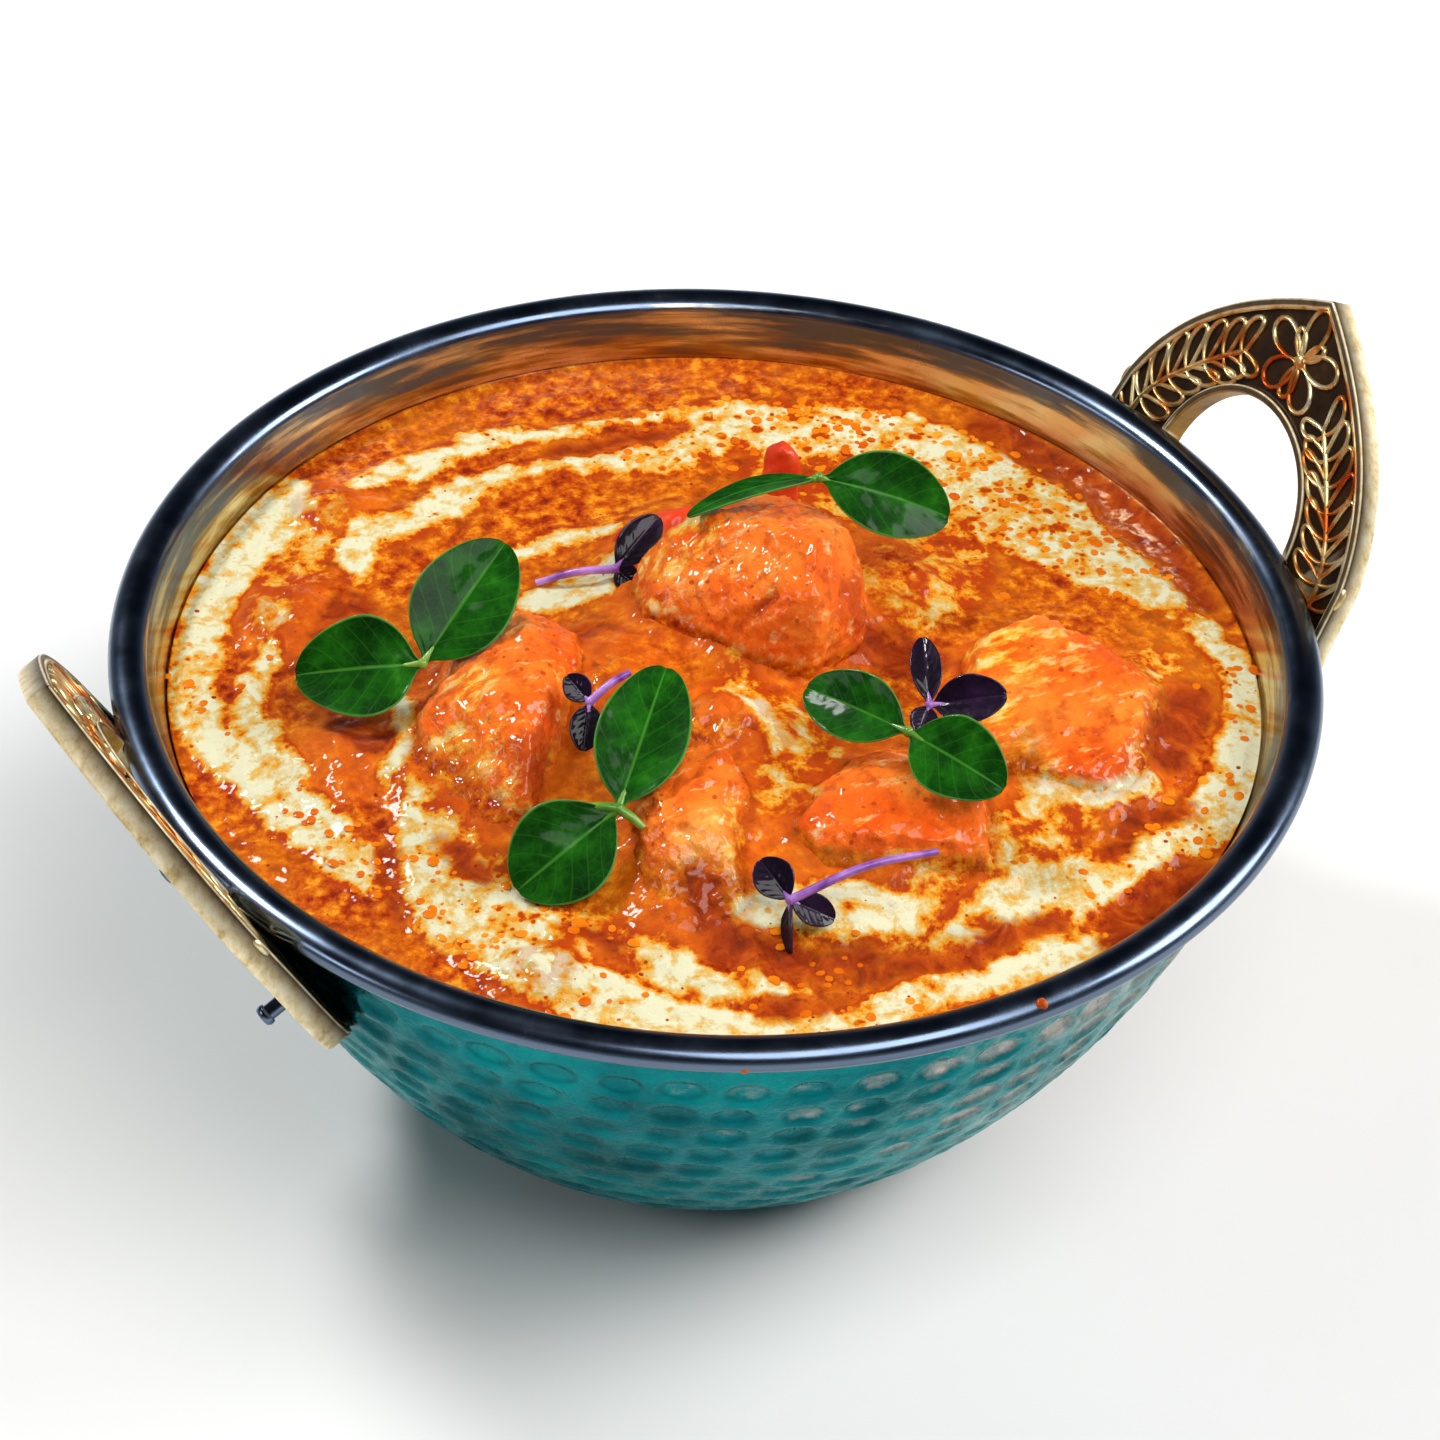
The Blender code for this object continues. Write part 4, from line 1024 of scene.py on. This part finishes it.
def glazedChicken():
    # tandoori-marinated chicken under a thin oily glaze: bright orange, red-brown in the grain, cream in
    # patches
    finish = newFinish("glazed_tandoori_chicken")
    place = addNode(finish, "TexCoord").outputs["Object"]
    coat = addNode(finish, "Attribute", attribute_name="coat").outputs["Fac"]
    dark = addNode(finish, "Attribute", attribute_name="dark").outputs["Fac"]
    blot = addNode(finish, "TexNoise", Vector=place, Scale=0.5 / (4.5 * mm), Detail=5, Roughness=0.55)
    mottle = addNode(finish, "TexNoise", Vector=place, Scale=0.5 / (1.1 * mm), Detail=6, Roughness=0.65)
    body = addNode(finish, "ValToRGB", Fac=blot, stops=[
        (0.30, "#e85408"), (0.46, "#fb701a"), (0.60, "#ff882a"), (0.76, "#ffac52")])
    # the marinade stays in the grain of the meat, in blotches about 1 mm across, and dark adds dark sauce and
    # painted shade
    grain = addNode(finish, "Math", operation="MULTIPLY_ADD", Value=dark, Value_001=0.42, Value_002=mottle)
    grain = addNode(finish, "ValToRGB", Fac=grain, stops=[(0.53, 0.0), (0.64, 0.58), (0.88, 1.0)])
    colour = addNode(finish, "Mix", data_type="RGBA", Factor_Float=grain, A_Color=body, B_Color="#c04408")
    # ground chilli sticks in the glaze as specks 0.4 to 0.8 mm across
    chilli = addNode(finish, "TexVoronoi", Vector=place, Scale=1 / (1.5 * mm))
    chilli = addNode(finish, "Math", operation="MULTIPLY_ADD", Value=chilli.outputs["Color"], Value_001=0.35,
                     Value_002=chilli.outputs["Distance"])
    chilli = addNode(finish, "ValToRGB", Fac=chilli, stops=[(0.24, 0.8), (0.32, 0.0)])
    colour = addNode(finish, "Mix", data_type="RGBA", Factor_Float=chilli, A_Color=colour, B_Color="#b23c08")
    drawn = addNode(finish, "Mapping", Vector=place, Rotation=(0.3, 0.2, 0.9), Scale=(0.45, 1.5, 1.0))
    streaks = addNode(finish, "TexNoise", Vector=drawn, Scale=0.5 / (1.3 * mm), Detail=6, Roughness=0.65)
    edge = addNode(finish, "Math", operation="MULTIPLY_ADD", Value=streaks, Value_001=3.0, Value_002=coat)
    edge = addNode(finish, "Math", operation="SUBTRACT", Value=edge, Value_001=1.6)
    creamShare = addNode(finish, "ValToRGB", Fac=edge, stops=[(0.12, 0.0), (0.45, 0.55), (0.85, 0.95)])
    cream = addNode(finish, "ValToRGB", Fac=streaks, stops=[
        (0.40, "#cc4c04"), (0.47, "#ea7c12"), (0.54, "#f6b434"), (0.64, "#f6da90")])
    colour = addNode(finish, "Mix", data_type="RGBA", Factor_Float=creamShare, A_Color=colour, B_Color=cream)
    # where it stands in the sauce, the sauce has run up it in ragged tongues
    covered = addNode(finish, "Attribute", attribute_name="skirt").outputs["Fac"]
    covered = addNode(finish, "Math", operation="MULTIPLY_ADD", Value=blot, Value_001=1.6, Value_002=covered)
    covered = addNode(finish, "Math", operation="SUBTRACT", Value=covered, Value_001=0.8)
    covered = addNode(finish, "ValToRGB", Fac=covered, stops=[(0.35, 0.0), (0.75, 1.0)])
    gravy = sauceColour(finish, place)[0]
    colour = addNode(finish, "Mix", data_type="RGBA", Factor_Float=covered, A_Color=colour, B_Color=gravy)
    rough = addNode(finish, "Bump", Height=mottle, Distance=0.55 * mm, Strength=1.0)
    fine = addNode(finish, "TexNoise", Vector=place, Scale=0.5 / (0.5 * mm), Detail=4, Roughness=0.6)
    relief = addNode(finish, "Bump", Height=fine, Distance=0.14 * mm, Strength=0.8, Normal=rough)
    # the oily film bridges the grain, so its glints are larger than the grain, about 1.1 mm
    swell = addNode(finish, "TexNoise", Vector=place, Scale=0.5 / (1.1 * mm), Detail=1, Roughness=0.4)
    film = addNode(finish, "Bump", Height=swell, Distance=0.45 * mm, Strength=1.0)
    return dress(finish, Base_Color=colour, Normal=relief, Roughness=0.5, Specular_IOR_Level=0.08,
                 Subsurface_Weight=0.08, Subsurface_Radius=(1.0, 0.35, 0.12), Subsurface_Scale=0.8 * mm,
                 Coat_Weight=0.5, Coat_Roughness=0.08, Coat_Normal=film)


def redPepper():
    # cooked sweet pepper: smooth wet skin, tomato red with orange where it thins
    finish = newFinish("cooked_red_pepper")
    place = addNode(finish, "TexCoord").outputs["Object"]
    blot = addNode(finish, "TexNoise", Vector=place, Scale=0.5 / (3 * mm), Detail=4, Roughness=0.6)
    tone = addNode(finish, "ValToRGB", Fac=blot, stops=[
        (0.3, "#c42a0e"), (0.55, "#e2451e"), (0.75, "#f0703a")])
    skin = addNode(finish, "TexNoise", Vector=place, Scale=0.5 / (1.2 * mm), Detail=4, Roughness=0.6)
    relief = addNode(finish, "Bump", Height=skin, Distance=0.10 * mm, Strength=0.7)
    return dress(finish, Base_Color=tone, Normal=relief, Roughness=0.42, Specular_IOR_Level=0.15,
                 Subsurface_Weight=0.12, Subsurface_Radius=(1.0, 0.2, 0.1), Subsurface_Scale=1.2 * mm,
                 Coat_Weight=0.4, Coat_Roughness=0.06)


chicken = glazedChicken()
pepper = redPepper()
curry = makhaniSauce()
chunks = []
for index, name in enumerate(creaminess):
    chunk = makeChunk(name, index + 1)
    if name.startswith("red_pepper"):
        wear(chunk, pepper, "red_pepper", name)
    elif name in underSauce:
        wear(chunk, curry, "curry_sauce", name)
    else:
        wear(chunk, chicken, "coated_chicken", name)
    chunks.append(chunk)


def treeOf(pieces):
    points, faces = [], []
    for piece in pieces:
        shift = len(points)
        points += [tuple(vert.co) for vert in piece.data.vertices]
        faces += [[index + shift for index in face.vertices] for face in piece.data.polygons]
    return BVHTree.FromPolygons(points, faces)


chunkTree = treeOf(chunks)
print("chicken and pepper made")


def makeSauce():
    # a fine sheet over the bowl's mouth, lifted round the chunks, closed by the wall below it
    side = wallFrom(bowl["sauceDrop"], sauce["inset"], 5)
    edge = side[0][0]
    clearSelection()
    bpy.ops.mesh.primitive_grid_add(x_subdivisions=sauce["cells"], y_subdivisions=sauce["cells"], size=2)
    piece = bpy.context.object
    square = coords(piece)
    u, v = square[:, 0], square[:, 1]
    x = u * np.sqrt(1 - v * v / 2) * edge
    y = v * np.sqrt(1 - u * u / 2) * edge
    flat = np.stack([x, y, np.zeros_like(x)], 1)
    height = sauceHeight(x, y)
    creamMask, oilAndShadeMask, beadMask = sauceFields(x, y)
    inner = ease(1 - np.hypot(x, y) / edge, 0.0, 0.03)
    around = np.arctan2(y, x)
    rings = np.stack([np.hypot(x, y), around * 22 * mm, np.zeros_like(x)], 1)
    ripple = cloud(rings, sauce["rippleSize"] * mm, 41, 3) * sauce["ripple"]
    rough = cloud(flat, sauce["grainSize"] * mm, 42, 3) * sauce["grainLift"] * (1 - 0.5 * creamMask)
    lift = creamMask * sauce["creamLift"] + (ripple + rough) * (1 - oilAndShadeMask * 0.5)
    lift -= oilAndShadeMask * sauce["oilSink"]
    height += lift * mm * inner
    fromWall = edge - np.hypot(x, y)
    height += sauce["meniscus"] * mm * np.exp(-fromWall / (sauce["meniscusReach"] * mm))

    # the sauce clings to each chunk and climbs it a little
    climbing = 0.4 + 1.0 * fit(cloud(flat, 4 * mm, 51, 3), -0.6, 0.6)
    near = np.zeros(len(x))
    for index in range(len(x)):
        spot = Vector((x[index], y[index], height[index]))
        place, way, _, distance = chunkTree.find_nearest(spot, 7 * mm)
        if place is None:
            continue
        if (spot - place).dot(way) < 0:
            distance = 0
        fall = math.exp(-distance / (sauce["climbReach"] * mm))
        height[index] += sauce["climb"] * climbing[index] * mm * fall
        near[index] = max(0, 1 - distance / (sauce["nearReach"] * mm))
    surface = np.stack([x, y, height], 1)
    moveTo(piece, surface)
    paint(piece, "cream", creamMask)
    paint(piece, "oil", oilAndShadeMask)
    paint(piece, "beads", beadMask)
    paint(piece, "near", near)

    pick(piece)
    bpy.ops.object.mode_set(mode="EDIT")
    bpy.ops.mesh.select_all(action="SELECT")
    bpy.ops.mesh.region_to_loop()
    for before, after in zip(side, side[1:3]):
        bpy.ops.mesh.extrude_region_move(TRANSFORM_OT_translate={"value": (0, 0, after[1] - before[1])})
        share = after[0] / before[0]
        bpy.ops.transform.resize(value=(share, share, 1), center_override=(0, 0, 0))
    bpy.ops.mesh.edge_face_add()
    bpy.ops.mesh.select_all(action="SELECT")
    bpy.ops.mesh.normals_make_consistent(inside=False)
    bpy.ops.object.mode_set(mode="OBJECT")
    settle(piece, "curry_sauce_visual")
    smooth(piece, 180)
    return piece, surface, creamMask, beadMask, near


def orangeOil():
    # beads of chilli oil: clear, glossy, deep orange
    finish = newFinish("orange_chilli_oil")
    place = addNode(finish, "TexCoord").outputs["Object"]
    blot = addNode(finish, "TexNoise", Vector=place, Scale=0.5 / (6 * mm), Detail=3, Roughness=0.6)
    tone = addNode(finish, "ValToRGB", Fac=blot, stops=[
        (0.35, "#cc5204"), (0.55, "#e67c0c"), (0.7, "#f4a428")])
    return dress(finish, Base_Color=tone, Roughness=0.3, Specular_IOR_Level=0.15, Coat_Weight=0.3,
                 Coat_Roughness=0.05, Subsurface_Weight=0.1, Subsurface_Radius=(1.0, 0.3, 0.1),
                 Subsurface_Scale=0.5 * mm)


def groundSpice():
    # crushed dried chilli: red to brown, matt
    finish = newFinish("crushed_chilli_flake")
    place = addNode(finish, "TexCoord").outputs["Object"]
    blot = addNode(finish, "TexNoise", Vector=place, Scale=0.5 / (5 * mm), Detail=3, Roughness=0.6)
    tone = addNode(finish, "ValToRGB", Fac=blot, stops=[
        (0.35, "#8e2606"), (0.55, "#b23c0a"), (0.7, "#7a4a12")])
    return dress(finish, Base_Color=tone, Roughness=0.6, Specular_IOR_Level=0.05)


def copyOf(piece, placing):
    made = bpy.data.objects.new("copy", piece.data.copy())
    scene.collection.objects.link(made)
    made.data.transform(placing)
    return made


def scatter(points, chances, count, sizes, flatness, rng, name, finish, slotName):
    # small rounded bits pressed into the sauce at points picked by their chances
    clearSelection()
    bpy.ops.mesh.primitive_uv_sphere_add(segments=8, ring_count=5, radius=1)
    bit = settle(bpy.context.object, "bit")
    chances = np.cumsum(chances)
    made = []
    for _ in range(count):
        spot = points[int(np.searchsorted(chances, rng.random() * chances[-1]))]
        size = rng.uniform(*sizes) ** 1.5 * mm
        turn = Matrix.Rotation(rng.uniform(0, math.tau), 4, "Z")
        shape = Matrix.Diagonal((size, size * rng.uniform(0.7, 1.0), size * flatness, 1))
        made.append(copyOf(bit, Matrix.Translation(spot) @ turn @ shape))
    bpy.data.objects.remove(bit, do_unlink=True)
    made = joinPieces(made, name)
    smooth(made, 60)
    wear(made, finish, slotName)


sauceVisual, surface, creamMask, beadMask, nearMask = makeSauce()
wear(sauceVisual, curry, "curry_sauce", "curry_sauce")
rng = random.Random(sauce["seed"])
onCream = creamMask * (beadMask > 0.2) * beadMask * (nearMask < 0.5)
scatter(surface, onCream, sauce["droplets"], sauce["dropletSizes"], 0.25, rng, "oil_droplets", orangeOil(),
        "curry_sauce")
openSauce = (nearMask < 0.6) * (np.hypot(surface[:, 0], surface[:, 1]) < sauce["flakeReach"] * mm)
scatter(surface, openSauce.astype(float), sauce["flakes"], sauce["flakeSizes"], 0.45, rng, "chilli_flakes",
        groundSpice(), "curry_sauce")
# two specks of sauce dried on the rim: places in mm and radius
clearSelection()
specks = []
for place, radius in (((3.4, -73.7, 66.3), 0.65), ((-31.2, -67.5, 64.6), 0.5)):
    bpy.ops.mesh.primitive_uv_sphere_add(segments=24, ring_count=14, radius=radius * mm,
                                         location=Vector(place) * mm)
    speck = settle(bpy.context.object, "speck")
    points = coords(speck)
    moveTo(speck, points + normals(speck) * (cloud(points, 0.7 * mm, 71, 2) * 0.2 * mm)[:, None])
    specks.append(speck)
specks = joinPieces(specks, "rim_specks")
smooth(specks, 180)
wear(specks, curry, "curry_sauce")
print("sauce made")


# joints and tips are places from the bowl's axis and heights above the sauce, in mm; a blade's face turns to
# upAndOut unless it has a facing of its own; full sets how far along a blade is widest, arch and bow lift its
# middle and cupping its sides; each stem is given by its end and its bow
upAndOut = (-0.30, -0.55, 0.78)
leaf = {"across": 18, "along": 32, "thickness": 0.32, "cup": 0.20, "vein": 0.13, "veinCount": 6.5,
        "veinSlant": 0.30, "midrib": 0.24, "wave": 0.30, "stalk": 0.05, "greenStalk": 0.55,
        "purpleStem": 0.48, "stalkReach": 0.22, "stalkTaper": 0.045, "stem": 1.2, "stemTaper": 0.02,
        "joint": 1.25}
greenSprigs = {
    "leaf_sprig_left": {"joint": (-36.6, 7.4, 10.3), "blades": [
        {"tip": (-50.4, 14.2, 8.1), "width": 12.6, "full": 0.78},
        {"tip": (-22.0, 15.0, 18.8), "width": 12.4, "full": 0.86, "cupping": 0.5}]},
    "leaf_sprig_back": {"joint": (18.9, 10.4, 19.2), "blades": [
        {"tip": (33.9, 3.0, 13.4), "width": 10.8, "full": 0.90, "arch": 0.10},
        {"tip": (0.8, 10.9, 18.6), "width": 5.2, "facing": (0.1, 0.25, 0.95), "bow": 1.3, "full": 0.8,
         "arch": 0.0, "cupping": 0.3}]},
    "leaf_sprig_front": {"joint": (-26.8, -26.4, 10.4), "blades": [
        {"tip": (-13.5, -12.0, 16.6), "width": 11.0, "full": 0.82},
        {"tip": (-40.4, -27.6, 3.6), "width": 12.4, "full": 1.05}],
        "stems": [((-30.0, -24.6, 10.4), 0.2), ((-24.8, -29.0, 8.8), 0.2)]},
    "leaf_sprig_right": {"joint": (8.4, -32.4, 14.5), "blades": [
        {"tip": (1.8, -19.0, 13.4), "width": 8.8, "full": 0.90},
        {"tip": (14.8, -44.3, 12.6), "width": 10.2, "full": 0.88}]},
}
microgreens = {
    "microgreen_back": {"joint": (-5.0, 18.6, 6.5), "blades": [
        {"tip": (2.2, 20.8, 11.0), "width": 4.8}, {"tip": (-3.2, 16.2, 5.2), "width": 3.4}],
        "stems": [((-13.4, 23.6, 3.4), 0.6)]},
    "microgreen_left": {"joint": (-22.0, -8.8, 11.6), "blades": [
        {"tip": (-23.6, -5.6, 13.8), "width": 3.4}, {"tip": (-25.0, -13.4, 8.6), "width": 4.0}],
        "stems": [((-16.4, -8.2, 13.8), 0.5)]},
    "microgreen_right": {"joint": (15.6, -25.2, 10.6), "blades": [
        {"tip": (18.8, -17.2, 14.2), "width": 3.8}, {"tip": (23.2, -30.2, 13.4), "width": 6.0},
        {"tip": (12.6, -28.0, 9.4), "width": 3.4}]},
    "microgreen_front": {"joint": (-14.0, -45.6, 7.0), "blades": [
        {"tip": (-15.4, -40.4, 9.6), "width": 4.8},
        {"tip": (-15.8, -49.4, 2.4), "width": 2.8, "facing": (-1.0, 0.2, 0.3)},
        {"tip": (-9.4, -48.4, 4.6), "width": 3.8}], "stems": [((3.8, -48.4, 10.2), 1.4)]},
}


def onSauce(place):
    return Vector(place) * mm + Vector((0, 0, sauceLevel))


def makeBlade(root, blade, seed):
    # one leaf: a grid drawn into a rounded blade on a short stalk, cupped and wavy, its veins sunk
    clearSelection()
    bpy.ops.mesh.primitive_grid_add(x_subdivisions=leaf["across"], y_subdivisions=leaf["along"], size=2)
    piece = bpy.context.object
    axis = onSauce(blade["tip"]) - root
    across = Vector(blade.get("facing", upAndOut)).cross(axis).normalized()
    normal = axis.cross(across).normalized()
    square = coords(piece)
    u, v = square[:, 0], (square[:, 1] + 1) / 2
    body = fit(v, leaf["stalk"], 1.0)
    outline = np.sin(math.pi * np.clip(body, 0.003, 0.997) ** blade.get("full", 1.0))
    outline = outline ** (0.72 - 0.24 * body)
    half = np.maximum(blade["width"] / 2 * outline, 0.35 * (v < 0.15)) * mm
    wave = cloud(np.stack([u, v * 3, np.zeros_like(u)], 1), 0.8, seed, 2) * leaf["wave"] * np.abs(u) ** 2
    lift = leaf["cup"] * blade["width"] / 2 * mm * np.abs(u) ** 1.8 * outline * blade.get("cupping", 1)
    lift += wave * mm * outline * min(blade["width"] / 10, 1)
    lift += (blade.get("arch", 0.05) * axis.length + blade.get("bow", 0) * mm) * 4 * v * (1 - v)
    veins = np.abs(((v - leaf["veinSlant"] * np.abs(u)) * leaf["veinCount"]) % 1 - 0.5) * 2
    lift -= leaf["vein"] * mm * (1 - ease(veins, 0.0, 0.35)) * ease(np.abs(u), 0.05, 0.2) * (1 - np.abs(u))
    lift -= leaf["midrib"] * mm * np.exp(-(u / 0.08) ** 2) * (1 - 0.6 * v)
    points = np.array(root)[None, :] + v[:, None] * np.array(axis)
    points += (u * half)[:, None] * np.array(across) + lift[:, None] * np.array(normal)
    moveTo(piece, points)
    if piece.data.polygons[len(piece.data.polygons) // 2].normal.dot(normal) < 0:
        piece.data.flip_normals()
    thick = piece.modifiers.new("thick", "SOLIDIFY")
    thick.thickness = leaf["thickness"] * mm
    thick.offset = -1
    soft = piece.modifiers.new("soft", "SUBSURF")
    soft.levels = soft.render_levels = 1
    applyAll(piece)
    return piece


def stalkLine(start, end, bow):
    middle = (start + end) / 2 + Vector((0, 0, bow * mm))
    return [Vector(point) for point in throughPoints([tuple(start), tuple(middle), tuple(end)], 8)]


def makeSprig(name, sprig, seed, finish, stalkFinish, slotName, radius):
    # blades on short stalks from one joint, with a longer stem where the sprig has one
    root = onSauce(sprig["joint"])
    blades, stalks = [], []
    for order, blade in enumerate(sprig["blades"]):
        blades.append(makeBlade(root, blade, seed + order * 0.37))
        tip = onSauce(blade["tip"])
        line = stalkLine(root, root + (tip - root) * leaf["stalkReach"], 0)
        radii = [radius * mm * (1 - leaf["stalkTaper"] * step) for step in range(len(line))]
        stalks.append(tube("stalk", line, radii))
    for end, bow in sprig.get("stems", []):
        line = stalkLine(root, onSauce(end), bow)
        radii = [radius * mm * (leaf["stem"] - leaf["stemTaper"] * step) for step in range(len(line))]
        stalks.append(tube("stem", line, radii, 3))
    clearSelection()
    bpy.ops.mesh.primitive_uv_sphere_add(
        segments=16, ring_count=10, radius=radius * leaf["joint"] * mm, location=root)
    stalks.append(settle(bpy.context.object, "joint"))
    made = joinPieces(blades, name + "_blades")
    smooth(made, 60)
    wear(made, finish, slotName, name)
    made = joinPieces(stalks, name + "_stalks")
    smooth(made, 60)
    wear(made, stalkFinish, slotName)


def freshLeaf(name, tones, vein, edge, **surface):
    # a fleshy waxed leaf: satin, with a net of paler veins and a thin light edge
    finish = newFinish(name)
    place = addNode(finish, "TexCoord").outputs["Object"]
    split = addNode(finish, "SeparateXYZ", Vector=addNode(finish, "UVMap", uv_map="UVMap"))
    blot = addNode(finish, "TexNoise", Vector=place, Scale=0.5 / (2.6 * mm), Detail=5, Roughness=0.6)
    colour = addNode(finish, "ValToRGB", Fac=blot, stops=tones)
    off = addNode(finish, "Math", operation="SUBTRACT", Value=split.outputs["X"], Value_001=0.5)
    off = addNode(finish, "Math", operation="ABSOLUTE", Value=off)
    # side veins leave the midrib at a slant, where the blade's grooves are; off is half of the grid's way
    slant = addNode(finish, "Math", operation="MULTIPLY_ADD", Value=off, Value_001=-2 * leaf["veinSlant"],
                    Value_002=split.outputs["Y"])
    slant = addNode(finish, "Math", operation="MULTIPLY", Value=slant, Value_001=leaf["veinCount"])
    slant = addNode(finish, "Math", operation="PINGPONG", Value=slant, Value_001=0.5)
    side = addNode(finish, "ValToRGB", Fac=slant, stops=[(0.02, 0.14), (0.06, 0.0)])
    net = addNode(finish, "TexVoronoi", feature="DISTANCE_TO_EDGE", Vector=place, Scale=1 / (1.5 * mm))
    netShare = addNode(finish, "ValToRGB", Fac=net, stops=[(0.02, 0.05), (0.08, 0.0)])
    rib = addNode(finish, "ValToRGB", Fac=off, stops=[(0.008, 0.50), (0.024, 0.0)])
    veins = addNode(finish, "Math", operation="MAXIMUM", Value=side, Value_001=netShare)
    veins = addNode(finish, "Math", operation="MAXIMUM", Value=veins, Value_001=rib)
    colour = addNode(finish, "Mix", data_type="RGBA", Factor_Float=veins, A_Color=colour, B_Color=vein)
    rimShare = addNode(finish, "ValToRGB", Fac=off, stops=[(0.470, 0.0), (0.498, 0.5)])
    colour = addNode(finish, "Mix", data_type="RGBA", Factor_Float=rimShare, A_Color=colour, B_Color=edge)
    sunk = addNode(finish, "Bump", Height=net, Distance=0.12 * mm, Strength=0.6)
    pores = addNode(finish, "TexNoise", Vector=place, Scale=0.5 / (0.8 * mm), Detail=1.5, Roughness=0.5)
    relief = addNode(finish, "Bump", Height=pores, Distance=0.06 * mm, Strength=0.6, Normal=sunk)
    # the wax lies in shallow dimples about 1.6 mm across, so its shine comes in patches
    dimples = addNode(finish, "TexNoise", Vector=place, Scale=0.5 / (1.6 * mm), Detail=1, Roughness=0.4)
    wax = addNode(finish, "Bump", Height=dimples, Distance=0.35 * mm, Strength=1.0)
    return dress(finish, Base_Color=colour, Normal=relief, Coat_Normal=wax, **surface)


def freshStem(name, first, second):
    # a juicy stalk, glossy, paler in blotches; on the purple stem the pale tone is painted highlight
    finish = newFinish(name)
    place = addNode(finish, "TexCoord").outputs["Object"]
    blot = addNode(finish, "TexNoise", Vector=place, Scale=0.5 / (2.5 * mm), Detail=3, Roughness=0.6)
    tone = addNode(finish, "ValToRGB", Fac=blot, stops=[(0.35, first), (0.65, second)])
    fibre = addNode(finish, "TexNoise", Vector=place, Scale=0.5 / (0.5 * mm), Detail=3, Roughness=0.6)
    relief = addNode(finish, "Bump", Height=fibre, Distance=0.03 * mm, Strength=0.5)
    return dress(finish, Base_Color=tone, Normal=relief, Roughness=0.35, Specular_IOR_Level=0.3,
                 Coat_Weight=0.4, Coat_Roughness=0.12, Subsurface_Weight=0.1, Subsurface_Scale=0.8 * mm)


greenLeaf = freshLeaf("waxy_green_leaf", [
    (0.30, "#032602"), (0.48, "#0a3f04"), (0.62, "#175a09"), (0.78, "#367c18")], "#4c9430", "#6aa84a",
    Roughness=0.5, Specular_IOR_Level=0.04, Coat_Weight=0.15, Coat_Roughness=0.12)
purpleLeaf = freshLeaf("dark_purple_microleaf", [
    (0.3, "#07030a"), (0.5, "#130818"), (0.75, "#2a1634")], "#3c1f44", "#4a2a54",
    Roughness=0.4, Specular_IOR_Level=0.08, Coat_Weight=0.4, Coat_Roughness=0.08)
greenStalk = freshStem("green_stalk", "#3d7a1c", "#86ac40")
purpleStem = freshStem("purple_stem", "#64188a", "#c890e2")
for seed, (name, sprig) in enumerate(greenSprigs.items(), 60):
    makeSprig(name, sprig, seed, greenLeaf, greenStalk, "green_leaf", leaf["greenStalk"])
for seed, (name, sprig) in enumerate(microgreens.items(), 64):
    makeSprig(name, sprig, seed, purpleLeaf, purpleStem, "purple_leaf", leaf["purpleStem"])
print("garnish made")
